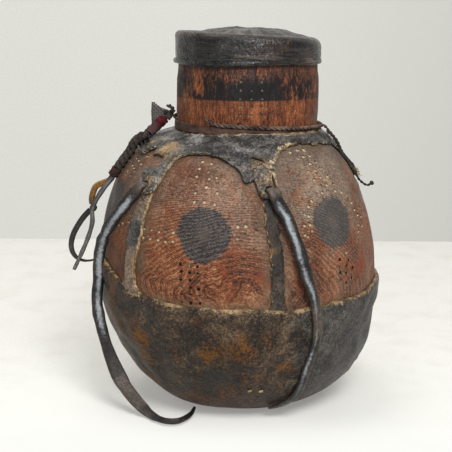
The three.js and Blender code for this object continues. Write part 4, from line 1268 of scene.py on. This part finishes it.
def collar_holes():
    """A rounded prism for each hole."""
    holes = Loose()
    for turn, level, lean, width, tall, depth, sides in COLLAR_HOLES:
        place = float(place_at_height(level))
        middle = on_wood(turn, place, 2)
        outward = unit(on_wood(turn, place, 3) - middle)
        sideways = unit(np.cross((lean, 0, 1.0), outward))
        upward = np.cross(outward, sideways)
        angle = ring_angles(sides)[:, None]
        ring = middle + sideways * squared(np.cos(angle), 0.55) * width / 2
        ring = ring + upward * squared(np.sin(angle), 0.8) * tall / 2
        holes.add_rings(np.stack([ring - outward * depth, ring + outward * depth]))
    return holes


# Degrees between the columns of points round a piece, and between hide faces that meet in a sharp edge
HIDE_STEP = 0.5
WOOD_STEP = 0.9
CAP_STEP = 1.2
BAND_STEP = 1.0
HIDE_SHARP = 45


def add_collar():
    turns = np.arange(0, 360, HIDE_STEP)
    around = wrapped(turns)
    shares = np.array([1, 0.95, 0.86, 0.72, 0.58, 0.45, 0.34, 0.25, 0.18, 0.12, 0.07, 0.03, 0.0])
    low = place_at_height(collar_low(turns))[:, None]
    place = low + (COLLAR_TOP_PLACE - low) * shares
    height = side_at(place)[1]
    turn = turns[:, None] + 0 * place
    away = edge_distance(on_wood(turn, place))

    curl = 0.9 * np.exp(-away / 4) * (0.6 + 0.5 * edge_relief(turn, 12))
    over_rib = 1.3 * (1 - smooth(rib_offset(turn), 3.6, 7)) * (1 - smooth(height, 184, 196))
    inner = SKIN_GAP + relief(turn, height) + over_rib + np.clip(curl, 0, 2)
    thick = 2.5 + 0.25 * fine_relief(turn, height + 20)
    lumps = 0.4 * fine_relief(turn, height * 1.3 + 50) + 0.3 * lump_relief(turn, height * 2)
    tongue_away = (wrapped(turn) - 11.2 - (201 - height) * 0.16) / 3.0
    tongue = 1.6 * np.exp(-tongue_away ** 4) * smooth(height, 181, 185) * (1 - smooth(height, 200, 202))
    outer = inner + thick + lumps * smooth(away, 0, 7) + tongue
    outer[:, -1] -= 0.55
    inner[:, -1] += 0.22
    lip = np.interp(around, LIP_TURNS, LIP_RISES)
    outer[:, 0] += 0.3 + lip
    outer[:, 1] += 0.3 + 0.5 * lip
    place[:, 0] -= (COLLAR_TOP_PLACE - LIP_PLACE) * smooth(lip, 0, 1)
    points = on_wood(folded(turn, turn), folded(place, place), folded(outer, inner))

    away = folded(away, away)
    pale = np.exp(-away / np.interp(around, FADE_TURNS, FADE_DEPTHS)[:, None])
    pale[:, len(shares):] = 1.0
    pale = pale * np.interp(around, PALE_TURNS, PALE_SHARES)[:, None]
    pale[:, [0, -1]] = 0.8
    values = {"edge": pale, "rise": smooth(away, 5, 14)}
    shape = mesh_of("collar", points, grid_faces(*points.shape[:2], True, True), values, HIDE_SHARP)
    cut_out(piece("collar", shape, "harness_rawhide", COLLAR_HIDE), collar_holes())


# Down a rib: heights, middles (turns) and widths; then how pale its left and right edge is, and how far its
# foot spreads to each side. Two ribs are seen; a plain one wanders a little.
RIB_TOP = 184.0
RIB_SHAPES = {
    "front": ([104, 124, 136, 142, 151, 160, 184], [15.0, 15.3, 15.4, 15.2, 14.6, 14.4, 14.6],
              [9.0, 9.6, 9.6, 9.6, 9.6, 9.8, 10.5], (0.5, 0.2), (2, 2)),
    "left": ([104, 126, 137, 153, 170, 178, 184], [-46.4, -45.4, -44.3, -43.5, -42.2, -41.6, -41.8],
             [9.5, 10, 12.4, 13.8, 10.6, 10, 11], (0.45, 0.8), (3, 9))}
PLAIN_RIB_HEIGHTS = [104, 125, 150, 178]
PLAIN_RIB_WIDTHS = [10.8, 10.4, 11, 12]


def add_rib(name, rib_turn):
    wander = [rib_turn + 0.5 * body_relief(rib_turn, height) for height in PLAIN_RIB_HEIGHTS]
    plain = (PLAIN_RIB_HEIGHTS, wander, PLAIN_RIB_WIDTHS, (0.5, 0.5), (5, 5))
    heights, middles, widths, tints, flares = RIB_SHAPES.get(name, plain)
    across = np.array([-1, -0.97, -0.9, -0.7, -0.4, 0, 0.4, 0.7, 0.9, 0.97, 1])
    base = cup_rim(rib_turn) + FIT_GAP
    level = base + (RIB_TOP - base) * np.linspace(0, 1, 70) ** 1.15
    width = np.interp(level, heights, widths) + 0.7 * edge_relief(rib_turn, level * 2)
    middle = np.interp(level, heights, middles) + 0.25 * fine_relief(rib_turn, level * 3)
    radius = side_at(place_at_height(level))[0]
    thick = np.interp(level, [base, base + 8, 172, 180, RIB_TOP], [2.9, 2.5, 2.4, 1.2, 0.7])
    level, width, middle, radius, thick = (x[:, None] for x in (level, width, middle, radius, thick))
    flare = np.where(across < 0, *flares) * np.exp(-(level - base) / 5)
    turn = middle + np.degrees((width / 2 + flare) * across / radius)
    height = level + (cup_rim(turn) + FIT_GAP - base) * (1 - smooth(level - base, 0, 10))
    place = place_at_height(height)
    crown = 1 - np.abs(across) ** 4
    inner = SKIN_GAP + relief(turn, height)
    outer = inner + thick * (0.45 + 0.55 * crown) + 0.25 * fine_relief(turn, height * 1.5) * crown
    outer += 0.5 * bell(np.abs(across), 0.86, 0.12) * smooth(thick, 1.5, 2.4)
    points = on_wood(folded(turn, turn), folded(place, place), folded(outer, inner))
    pale = np.interp(np.abs(across), [0.55, 0.86, 0.97, 1], [0, 0.5, 0.95, 1]) * np.where(across < 0, *tints)
    pale = np.broadcast_to(np.concatenate([pale, pale[::-1]]), points.shape[:2])
    shape = mesh_of(f"rib_{name}", points, closed_faces(*points.shape[:2]), {"edge": pale}, HIDE_SHARP)
    piece(f"rib_{name}", shape, "harness_rawhide", RIB_HIDE)


def add_cup():
    turns = np.arange(0, 360, HIDE_STEP)[:, None]
    rim = cup_rim(turns)
    shares = np.concatenate([np.linspace(0, 0.5, 14, endpoint=False), np.linspace(0.5, 1, 26) ** 0.8])
    place = -1 + (place_at_height(rim) + 1) * shares
    turn = turns + 0 * place
    height = side_at(place)[1]
    below = rim - height

    uneven = relief(turn, height) * smooth(height, 6, 40)
    bulge = 0.6 * smooth(below, 0, 3) * (1 - smooth(below, 4, 16))
    dents = 0.5 * fine_relief(turn, height) * smooth(height, 10, 30) * smooth(below, 1, 8)
    crease = -0.7 * bell(height, 9.5, 1.3) * (0.7 + 0.3 * edge_relief(turn, 5)) * smooth(height, 4.5, 8)
    around = wrapped(turn)
    slack = 2.6 * bell(around, 84, 40) * bell(height, 42, 22)
    slack += 2.8 * bell(around, -36, 32) * bell(height, 17, 12) * smooth(height, 4.5, 12)
    outer = CUP_TOP + uneven + bulge + slack + dents + crease
    inner = FIT_GAP + uneven
    outer[:, -1] -= 0.7
    inner[:, -1] += 0.35
    outer_points = on_wood(turn, place, outer)
    outer_points[:, 0] = on_wood(turns[:, 0], -1, CUP_TOP)
    outer_points[..., 2] = np.maximum(outer_points[..., 2], 0)
    inner_points = on_wood(turn, place, inner)[:, ::-1]
    underside = turned(turns, np.array([[0.0, 18, 30]]), 0.0)
    bottom = turned(turns, np.array([[30.0, 18, 0]]), CUP_THICKNESS)
    points = np.concatenate([underside, outer_points, inner_points, bottom], axis=1)

    pale = np.interp(wrapped(turns), RIM_PALE_TURNS, RIM_PALE_SHARES) + 0.3 * fine_relief(turns, 33)
    near = np.exp(-below / 2.4) * pale
    edge = np.concatenate([0 * underside[..., 0], folded(near, near), 0 * bottom[..., 0]], axis=1)
    faces = grid_faces(*points.shape[:2], close_rows=True)
    shape = mesh_of("base_cup", points, faces, {"edge": edge}, HIDE_SHARP)
    piece("base_cup", shape, "harness_rawhide", CUP_HIDE)


def add_stitches():
    """Two pale stitches low on the cup, and a straw caught at the left rib."""
    shape = Loose()
    for turn, place in ((3.2, -0.516), (8.6, -0.522)):
        across = [on_skin(turn + step, place + 0.004 * step, 0.5) for step in (-0.9, 0, 0.9)]
        tube(shape, route_points(across, 0.4), 0.9)
    straw = [on_wood(turn, float(place_at_height(height)), 4.2)
             for turn, height in ((-42.2, 132), (-42.4, 126), (-43, 117))]
    tube(shape, route_points(straw, 0.8), 0.45, 6)
    shape.piece("stitches", "tan_leather", STRAW, nodes=[])


add_stitches()
add_collar()
for rib_name, rib_turn in RIB_TURNS.items():
    add_rib(rib_name, wrapped(rib_turn).item())
add_cup()


# The carved wood with its pricked dots

def rows_between(first, last, rows):
    """Dots in rows, from one row of (turn, height) points to another."""
    first, last = np.asarray(first, float), np.asarray(last, float)
    return [tuple(start + (end - start) * row / (rows - 1))
            for row in range(rows) for start, end in zip(first, last)]


FRONT_DOTS = (
    [(-17.8, 202.9), (-12.8, 202), (-7.5, 202.2), (-18.5, 197.9), (-13.2, 196.3), (-9, 198.4),
     (-18.8, 193.1), (-12.5, 191.5), (-9, 192.7), (-18, 187.7), (-13, 186), (-8.2, 188), (-18, 181.6),
     (-12.8, 180.6), (-8.2, 182), (-17.5, 175.5), (-13.2, 175.9), (-9, 174.7)]
    + [(turn, height) for turn in (-39.6, -36, -32.5, -29, -25.6) for height in (153, 146.6)]
    + [(0.8, 159.2), (3.7, 159.8), (7.8, 161), (0.5, 151.3), (3.5, 153.5), (7.8, 155.6)]
    + rows_between([(-21.8, 131), (-18.2, 131), (-15, 130)],
                   [(-21.5, 103.5), (-18, 103), (-14.5, 102.5)], 6))
RIGHT_DOTS = [
    (31, 208.8), (36.2, 209.4), (41, 209.5), (35, 203.6), (39.2, 204.8), (43.8, 205), (36.8, 198.8),
    (41, 199.7), (45.5, 200.4), (37.8, 195.1), (42.5, 194.7), (46.8, 195.4), (39.5, 188.5), (43.8, 189.5),
    (48.5, 190), (41.8, 183.8), (45.8, 184), (50.3, 184.2), (41.2, 179.5), (45.2, 179.8), (49.8, 179.5),
    (34.2, 174.8), (32, 171), (31.5, 164.5), (31.5, 158.4), (32.2, 154), (29.8, 150.5), (29.4, 166),
    (28.8, 158), (28, 152), (54.2, 177.3), (58, 174.1), (60.3, 168.3), (61.5, 162.5), (63.8, 158.1),
    (62, 151.5), (60.8, 146.6), (66.5, 163), (67.5, 156), (66, 149), (49.2, 133.8), (44.5, 129.7),
    (50, 127.8), (43.8, 124), (47.8, 118.7), (44.2, 119.9), (39.5, 117.8), (43.8, 113.8), (51.2, 113.5),
    (48.4, 124), (52, 121), (47.6, 112)]
LEFT_DOTS = [
    (-65.5, 201.9), (-57.5, 202.4), (-62.8, 199.2), (-58.2, 196.9), (-66.5, 194.2), (-62.8, 193.3),
    (-60, 191.3), (-68.2, 189.7), (-61.5, 187.3), (-69, 187.3), (-67.5, 199.7), (-62.2, 204.2)]
NECK_DOTS = rows_between([(-5.8, 235), (2.4, 235), (10.4, 235)], [(-5.6, 260), (2.6, 260), (10.6, 260)], 5)
# The windows at the back repeat the front one's dots up to the shoulder's top, and the one at the left does
# so below its own dots that are seen
REPEATED_BELOW = [SHOULDER_TOP, SHOULDER_TOP, 170]
# How far from the hide a dot stays, or else is left out
CUP_CLEARANCE = 2.5
COLLAR_CLEARANCE = 2


def neck_relief(turn, height):
    swell = 0.8 * smooth(height, 226, 236)
    uneven = 0.35 * body_relief(turn, height) + 0.1 * fine_relief(turn, height)
    return (swell + uneven) * (1 - smooth(height, 258, 268))


def pit_places():
    """Middle and outward direction of every pricked dot."""
    random = np.random.default_rng(7)
    found = []
    marks = FRONT_DOTS + RIGHT_DOTS + LEFT_DOTS
    for (turn, _, _), top in zip(DISCS[2:], REPEATED_BELOW):
        marks += [(turn - DISCS[0][0] + dot_turn, level) for dot_turn, level in FRONT_DOTS if level < top]
    for turn, level in marks:
        turn, level = turn + random.normal(0, 0.15), level + random.normal(0, 0.25)
        if cup_rim(turn) + CUP_CLEARANCE <= level <= collar_low(turn) - COLLAR_CLEARANCE:
            place = float(place_at_height(level))
            stand = relief(turn, level)
            middle = on_wood(turn, place, stand)
            found.append((middle, on_wood(turn, place, stand + 1) - middle))
    for turn, level in NECK_DOTS:
        turn, level = turn + random.normal(0, 0.25), level + random.normal(0, 0.3)
        stand = neck_relief(turn, level)
        middle = on_neck(turn, level, stand)
        found.append((middle, on_neck(turn, level, stand + 1) - middle))
    return [(middle, unit(outward)) for middle, outward in found]


# A pit's rounded bottom: how far its rings stand out of the wood, and how wide they are as shares
PIT_PROFILE = [(1.2, 1.05), (0.0, 1.0), (-0.55, 0.86), (-0.95, 0.5), (-1.1, 0.12)]
PIT_RADII = (1.1, 1.4)
PIT_SIDES = 10
NECK_PIT_SHARE = 0.7


def pit_cutters(pits):
    """A rounded peg for each dot, smaller on the neck."""
    random = np.random.default_rng(5)
    cuts = Loose()
    angle = ring_angles(PIT_SIDES)[:, None]
    for middle, outward in pits:
        sideways = unit(np.cross(outward, (0, 0, 1.0)))
        upward = np.cross(outward, sideways)
        wide = random.uniform(*PIT_RADII) * (NECK_PIT_SHARE if middle[2] > SHOULDER_TOP else 1)
        ring = sideways * np.cos(angle) + upward * np.sin(angle)
        rings = [middle + outward * rise + ring * reach * wide for rise, reach in PIT_PROFILE]
        cuts.add_rings(np.stack(rings))
    return cuts


def quarter_round(first, last, count, middle_radius, middle_height, size):
    """Radii and heights along a rounded edge, from one angle to another."""
    angle = np.radians(np.linspace(first, last, count))
    return np.stack([middle_radius + size * np.cos(angle), middle_height + size * np.sin(angle)])


def wood_points(turn, low, side):
    """The wood from the middle of its foot up the outside, over the rim and down the inside."""
    outer = [turned(turn, np.array([[0.0, 18]]), WOOD_BOTTOM)]
    for places in (low, side):
        level = side_at(places)[1]
        fade = (1 - smooth(level, 210, 217)) * smooth(level, 8, 40)
        outer.append(on_wood(turn, places[None, :], relief(turn, level[None, :]) * fade))
    levels = np.linspace(219, NECK_TOP - NECK_RIM_ROUND, 52)[None, :]
    outer.append(on_neck(turn, levels, neck_relief(turn, levels) * smooth(levels, 217, 226)))
    lip_round = NECK_RIM_ROUND / 2
    rim = quarter_round(12, 90, 7, NECK_RADIUS - NECK_TAPER - NECK_RIM_ROUND, NECK_TOP - NECK_RIM_ROUND,
                        NECK_RIM_ROUND)
    lip = quarter_round(90, 180, 5, BORE_RADIUS + lip_round, NECK_TOP - lip_round, lip_round)
    radius, level = np.concatenate([rim, lip], axis=1)
    rims = turned(turn, radius[None, :], level[None, :])
    bore = np.array([LID_RIM, 255, 240, 226, SHOULDER_TOP - WALL / 2])[None, :]
    inner_places = np.linspace(NECK_PLACE, -1, 30)[None, :]
    inner = [turned(turn, BORE_RADIUS + 0.3 * fine_relief(turn, bore), bore),
             on_wood(turn, inner_places, -WALL + 0.5 * fine_relief(turn, inner_places * 90)),
             turned(turn, np.array([[18.0, 0]]), WOOD_BOTTOM + WALL)]
    return slanted(np.concatenate([*outer, rims, *inner], axis=1))


GRIME_AND_SHADE_REACH = 20
RIB_HALF_WIDTH = 6.5


def hide_distance(turns, low, side):
    """How far the wood's outside is from the hide, as a share of the reach of the painted shade and soiling
    along the hide.
    """
    radius, level = np.concatenate([side_at(low), side_at(side)], axis=1)
    level = np.concatenate([[WOOD_BOTTOM] * 2, level])
    radius = np.concatenate([[FOOT_RADIUS] * 2, radius])
    away = np.minimum(collar_low(turns) - level, level - cup_rim(turns))
    away = np.minimum(away, np.radians(rib_offset(turns)) * radius - RIB_HALF_WIDTH)
    return np.clip(away / GRIME_AND_SHADE_REACH, 0, 1)


SKIN_SLOT, PIT_SLOT, INSIDE_SLOT = 0, 1, 2
# The hollow's reach round its own middle, and its top
HOLLOW_RADIUS = 108
HOLLOW_MIDDLE = -4
HOLLOW_TOP = 290
# How far a pit's rim, walls and floor reach from its middle, and at what depths its walls begin and end
PIT_REACH, PIT_WALL_REACH, PIT_FLOOR_REACH = 1.8, 1.6, 1.45
PIT_WALL_TOP, PIT_WALL_FOOT = -0.15, -0.5
PIT_DEEPEST, PIT_HIGHEST = -3, 2


def material_slots(mesh, pits):
    """The material of every face: the hollow, the pits' walls and bottoms, and the skin elsewhere. A pit's
    upper walls get the hollow's dark wood as painted shade, its lower walls the pale filling as painted
    light.
    """
    def of_faces(key):
        values = np.zeros(len(mesh.polygons) * 3, np.float32)
        mesh.polygons.foreach_get(key, values)
        return values.reshape(-1, 3)

    middles = of_faces("center") / MM
    slots = np.full(len(mesh.polygons), SKIN_SLOT, np.int32)
    inward = (of_faces("normal") * (middles * (1, 1, 0))).sum(1) < 0
    radius = np.hypot(middles[:, 0] - HOLLOW_MIDDLE, middles[:, 1])
    slots[inward & (middles[:, 2] < HOLLOW_TOP) & (radius < HOLLOW_RADIUS)] = INSIDE_SLOT
    for middle, outward in pits:
        offset = middles - middle
        depth = offset @ outward
        away = np.sqrt(np.maximum((offset ** 2).sum(1) - depth ** 2, 0))
        walls = (away < PIT_WALL_REACH) & (depth < PIT_WALL_TOP) & (depth > PIT_WALL_FOOT)
        lit_lower_walls = walls & (offset[:, 2] < -0.3)
        floor = (away < PIT_FLOOR_REACH) & (depth <= PIT_WALL_FOOT) & (depth > PIT_DEEPEST)
        slots[(away < PIT_REACH) & (depth > PIT_DEEPEST) & (depth < PIT_HIGHEST)] = SKIN_SLOT
        # painted shade on a pit's upper walls, painted light on its lower walls
        slots[walls] = INSIDE_SLOT
        slots[lit_lower_walls | floor] = PIT_SLOT
    return slots


def add_wood():
    turns = np.arange(0, 360, WOOD_STEP)[:, None]
    low = np.linspace(-1, -0.12, 14)
    side = np.linspace(-0.1, NECK_PLACE, 120)
    points = wood_points(turns, low, side)
    near = np.ones(points.shape[:2])
    outside = hide_distance(turns, low, side)
    near[:, :outside.shape[1]] = outside
    faces = grid_faces(*points.shape[:2], close_rows=True)
    shape = mesh_of("vessel_wood", points, faces, {"near_edge": near}, sharp=60)
    carved = ["vessel_body", "vessel_neck"]
    made = piece("vessel_wood", shape, "carved_wood", WOOD, PITS, INSIDE, nodes=carved)
    pits = pit_places()
    cut_out(made, pit_cutters(pits))
    made.data.polygons.foreach_set("material_index", material_slots(made.data, pits))


add_wood()


# The rawhide cap

def add_cap():
    """A dished crown, a rounded shoulder, a dented side with a rolled lip, and the inside."""
    columns = np.arange(0, 360, CAP_STEP)[:, None]
    inner = neck_radius(LID_RIM) + FIT_GAP
    outer = inner + LID_THICKNESS
    inner_round = NECK_RIM_ROUND + FIT_GAP
    inner_corner = inner - inner_round
    inner_level = NECK_TOP + FIT_GAP
    to_right = np.sin(np.radians(columns))
    outer_round = 6.0 + 1.8 * to_right
    outer_level = inner_level + LID_THICKNESS

    def crown(radius, top):
        return top + LID_CROWN * (1 - (radius / inner_corner) ** 2)

    share = np.array([0, 0.12, 0.24, 0.36, 0.48, 0.6, 0.72, 0.82, 0.9, 0.96])
    top_radius = share * (outer - outer_round)
    dish = -1.1 * bell(share, 0.78, 0.14)
    ripple = 0.5 * fine_relief(columns, share * 60) + 0.7 * body_relief(columns, share * 80)
    lean = 1.7 * to_right * smooth(share, 0.2, 0.7) * (1 - smooth(share, 0.85, 1))
    top_level = crown(top_radius, outer_level) + (dish + ripple) * smooth(share, 0, 0.3) + lean - 0.4
    angle = np.radians(np.linspace(85, 5, 9))
    shoulder = (outer - outer_round + outer_round * np.cos(angle),
                outer_level - outer_round + outer_round * np.sin(angle))
    low = LID_RIM + 0.5 * body_relief(columns, 20) - 1.1 * bell(wrapped(columns), -38, 30)
    side_level = low + (outer_level - outer_round - low) * np.array([0.75, 0.55, 0.38, 0.26, 0.2])
    dent = 0.45 * body_relief(columns * 2, side_level) + 0.16 * fine_relief(columns, side_level * 2)
    roll = np.array([0.5, 1.05, 1.2, 1.0, 0.3]) * (0.9 + 0.3 * body_relief(columns, 70))
    inside = quarter_round(0, 90, 5, inner_corner, inner_level - inner_round, inner_round)
    under = np.array([0.75, 0.4, 0.0]) * inner_corner
    profile = [(top_radius, top_level), shoulder, (outer + dent - 0.2, side_level),
               (outer + roll, low + np.array([3.6, 2.7, 1.7, 0.6, -0.1])),
               (inner + np.array([0.9, 0.0]), low + np.array([0.1, 0.9])), inside,
               (under, crown(under, inner_level))]

    def all_round(rows):
        spread = [np.broadcast_to(row, (len(columns), np.shape(row)[-1])) for row in rows]
        return np.concatenate(spread, axis=1)

    radius, level = (all_round(rows) for rows in zip(*profile))
    points = slanted(turned(columns, radius, level))
    shape = mesh_of("lid_cap", points, grid_faces(*points.shape[:2], close_rows=True))
    piece("lid_cap", shape, "cap_rawhide", CAP_HIDE, body=CAP_BODY)


add_cap()


# Band, cord and knot round the neck

def add_neck_band():
    turns = np.arange(0, 360, BAND_STEP)[:, None]
    bottom = COLLAR_TOP + 0.2
    top = cord_level(turns) - NECK_CORD_DIAMETER / 2 - 0.2 + 0.25 * edge_relief(turns, 3)
    level = bottom + (top - bottom) * np.array([0, 0.04, 0.2, 0.4, 0.6, 0.8, 0.96, 1])
    swell = np.array([0.6, 1, 1, 1, 1, 1, 1, 0.6])
    inner = neck_radius(level) + FIT_GAP
    outer = inner + BAND_THICKNESS * swell + 0.2 * fine_relief(turns, level * 4)
    points = turned(turns, folded(outer, inner), folded(level, level))
    shape = mesh_of("neck_band", points, grid_faces(*points.shape[:2], True, True))
    piece("neck_band", shape, "brown_leather", BAND_LEATHER)


def add_neck_cord():
    """The cord round the neck with its loose tip, and the short link to the cord that hangs at the right."""
    lift = FIT_GAP + NECK_CORD_DIAMETER / 2
    route = [on_neck(-33, cord_level(-24) + NECK_CORD_DIAMETER, lift + FIT_GAP)]
    route += [on_neck(turn, cord_level(turn), lift) for turn in np.linspace(-24, 271, 37)]
    shape = Loose()
    twisted(shape, route_points(route, 0.7), NECK_CORD_DIAMETER, pitch=2.4, sides=8)
    branch = on_neck(74, cord_level(74), lift + 1)
    hung = RIGHT_CORD_ROUTE[0]
    link = [branch, (branch + hung) / 2 + (0.8, 0, 0.6), hung - (0, 0, 1)]
    twisted(shape, route_points(link, 0.5), diameter=2.4, pitch=3.2)
    shape.piece("neck_cord", "dark_fibre", CORD_FIBRE)


def add_knot():
    """A trefoil of cord round a core, and the small loop that stands out of it."""
    turn = np.linspace(0, 2 * np.pi, 151)
    trefoil = np.stack([np.sin(turn) + 2 * np.sin(2 * turn), -1.15 * np.sin(3 * turn),
                        np.cos(turn) - 2 * np.cos(2 * turn)], axis=1)
    core = np.array([0, 0, CORE_RADIUS])
    shape = Loose()
    tube(shape, route_points([KNOT_MIDDLE - core, KNOT_MIDDLE, KNOT_MIDDLE + core], 0.8), CORE_RADIUS)
    twisted(shape, KNOT_MIDDLE + trefoil * (KNOT_RADIUS - 1.3) / 3.0, diameter=2.9, pitch=2.2, sides=8)
    shape.piece("neck_knot", "dark_fibre", DARK_FIBRE)

    reach = 1 + (TAIL_DIAMETER / 2 + 2 * FIT_GAP) / KNOT_RADIUS
    route = []
    for angle in np.radians([-10, 10, 30, 50, 65]):
        out = reach * math.sin(angle)
        route.append(from_knot(0.7 * out, -0.72 * out, reach * math.cos(angle)))
    loop = Loose()
    twisted(loop, route_points(route, 0.5), TAIL_DIAMETER, pitch=2.4, sides=8)
    loop.piece("knot_loop", "dark_fibre", DARK_FIBRE)


# The woven tab behind the knot, as points across and up from the knot's middle
TAB_OUTLINE = np.array([
    (-13.5, -7), (-6, -5), (-1, -2), (-1, 2.5), (-7, 4.5), (-13.2, 9.5), (-14, 2)], float)
TAB_THREAD = 1.5


def add_tab():
    """Threads both ways across the tab, over and under each other."""
    middle = KNOT_MIDDLE + np.array([0, KNOT_RADIUS + FIT_GAP + 1, 0])
    woven = Loose()
    for axis in (0, 1):
        levels = np.arange(TAB_OUTLINE[:, axis].min() + 0.7, TAB_OUTLINE[:, axis].max(), TAB_THREAD)
        for number, level in enumerate(levels):
            crossing = []
            for start, end in zip(TAB_OUTLINE, np.roll(TAB_OUTLINE, -1, axis=0)):
                if (start[axis] - level) * (end[axis] - level) < 0:
                    share = (level - start[axis]) / (end[axis] - start[axis])
                    crossing.append(start[1 - axis] + share * (end[1 - axis] - start[1 - axis]))
            run = np.linspace(min(crossing) - 0.6, max(crossing) + 0.6, 40)
            thread = np.zeros((len(run), 3))
            thread[:, 2 * axis] = level
            thread[:, 2 - 2 * axis] = run
            thread[:, 1] = 0.42 * np.sin(np.pi * run / TAB_THREAD + np.pi * (number + axis))
            tube(woven, middle + thread, 0.62, 6)
    woven.piece("knot_tab", "grey_fibre", GREY_FIBRE)


add_neck_band()
add_neck_cord()
add_knot()
add_tab()


# Floor, wall and light

class Paper(Paint):
    """Pale paper. Where it is looked at, straight or in a reflection, part of its own colour shows whatever
    shadow falls on it; that part lights nothing."""

    def __init__(self, name):
        super().__init__(name)
        self.fibres = self.noise(420, 3, 0.7)
        ray = self.node("ShaderNodeLightPath").outputs
        seen = self.math("MAXIMUM", ray["Is Camera Ray"], ray["Is Glossy Ray"])
        self.seen = self.math("MAXIMUM", seen, ray["Is Transmission Ray"])

    def shown(self, lit, tint, share):
        self.finish(lit, 0.9, self.bump(self.fibres, depth=0.2, strength=0.3), specular=0.1)
        glow = self.node("ShaderNodeEmission", {"Color": tint, "Strength": 1.0})
        self.cover(self.times(self.seen, share), glow)


def floor_paper():
    """White at the front, which is painted light. The light that it throws up is that of a greyer floor."""
    p = Paper("floor")
    tint = p.mix(p.between(p.fibres, 0.35, 0.7), rgb(252, 251, 246), rgb(244, 242, 234))
    tint = p.mix(p.between(p.noise(24, 5, 0.6), 0.45, 0.7, 0.0, 0.5), tint, rgb(236, 233, 223))
    # painted light: whiter towards the front, where more of the floor's own colour is shown
    tint = p.mix(p.between(p.y, -0.1, 0.15, 0.8, 0.0), tint, rgb(255, 255, 250))
    p.shown(p.mix(p.seen, rgb(168, 166, 161), tint), tint, p.between(p.y, -0.13, -0.05, 0.96, 0.25))
    return p.material


def wall_paper():
    """Greyer to the right, which is painted shade. It is clear from behind, so that the vessel can be looked
    at from there.
    """
    p = Paper("wall")
    # painted shade: greyer towards the right
    tint = p.mix(p.between(p.x, -0.1, 0.45), rgb(232, 232, 226), rgb(212, 212, 206))
    tint = p.mix(p.between(p.fibres, 0.35, 0.7, 0.0, 0.3), tint, rgb(206, 205, 198))
    p.shown(tint, tint, 0.62)
    behind = p.node("ShaderNodeNewGeometry").outputs["Backfacing"]
    p.cover(behind, p.node("ShaderNodeBsdfTransparent"))
    return p.material


def stage_sheet(name, corners, material):
    mesh = bpy.data.meshes.new(name)
    mesh.from_pydata(corners, [], [(0, 1, 2, 3)])
    mesh.materials.append(material)
    made = placed(name, mesh)


def add_light(name, place, aim, size, power):
    data = bpy.data.lights.new(name, "AREA")
    data.size = size
    data.energy = power
    lamp = placed(name, data)
    lamp.location = place
    lamp.rotation_mode = "QUATERNION"
    lamp.rotation_quaternion = (Vector(place) - Vector(aim)).to_track_quat("Z", "Y")


# Stage sizes are metres
FLOOR_REACH = 3
WALL_BACK = 0.612
WALL_REACH = 2.5
WALL_HEIGHT = 1.6
WORLD_TINT = (1.0, 1.0, 0.99, 1.0)
WORLD_STRENGTH = 0.25

FLOOR_CORNERS = [(-FLOOR_REACH, -FLOOR_REACH, 0), (FLOOR_REACH, -FLOOR_REACH, 0),
                 (FLOOR_REACH, FLOOR_REACH, 0), (-FLOOR_REACH, FLOOR_REACH, 0)]
WALL_CORNERS = [(-WALL_REACH, WALL_BACK, 0), (WALL_REACH, WALL_BACK, 0),
                (WALL_REACH, WALL_BACK, WALL_HEIGHT), (-WALL_REACH, WALL_BACK, WALL_HEIGHT)]

stage_sheet("floor", FLOOR_CORNERS, floor_paper())
stage_sheet("wall", WALL_CORNERS, wall_paper())
add_light("key", (0.35, -1.2, 1.25), (0, 0, 0.1), size=0.6, power=21)
add_light("front", (-0.6, -1.8, 1.0), (0, 0, 0.12), size=0.8, power=6)
add_light("wall_wash", (-0.3, 0.1, 1.5), (-0.1, WALL_BACK, 0.3), size=0.8, power=5.4)
world = bpy.data.worlds.new("world")
world.use_nodes = True
world.node_tree.nodes["Background"].inputs["Color"].default_value = WORLD_TINT
world.node_tree.nodes["Background"].inputs["Strength"].default_value = WORLD_STRENGTH
bpy.context.scene.world = world
bpy.context.scene.view_settings.view_transform = "Standard"
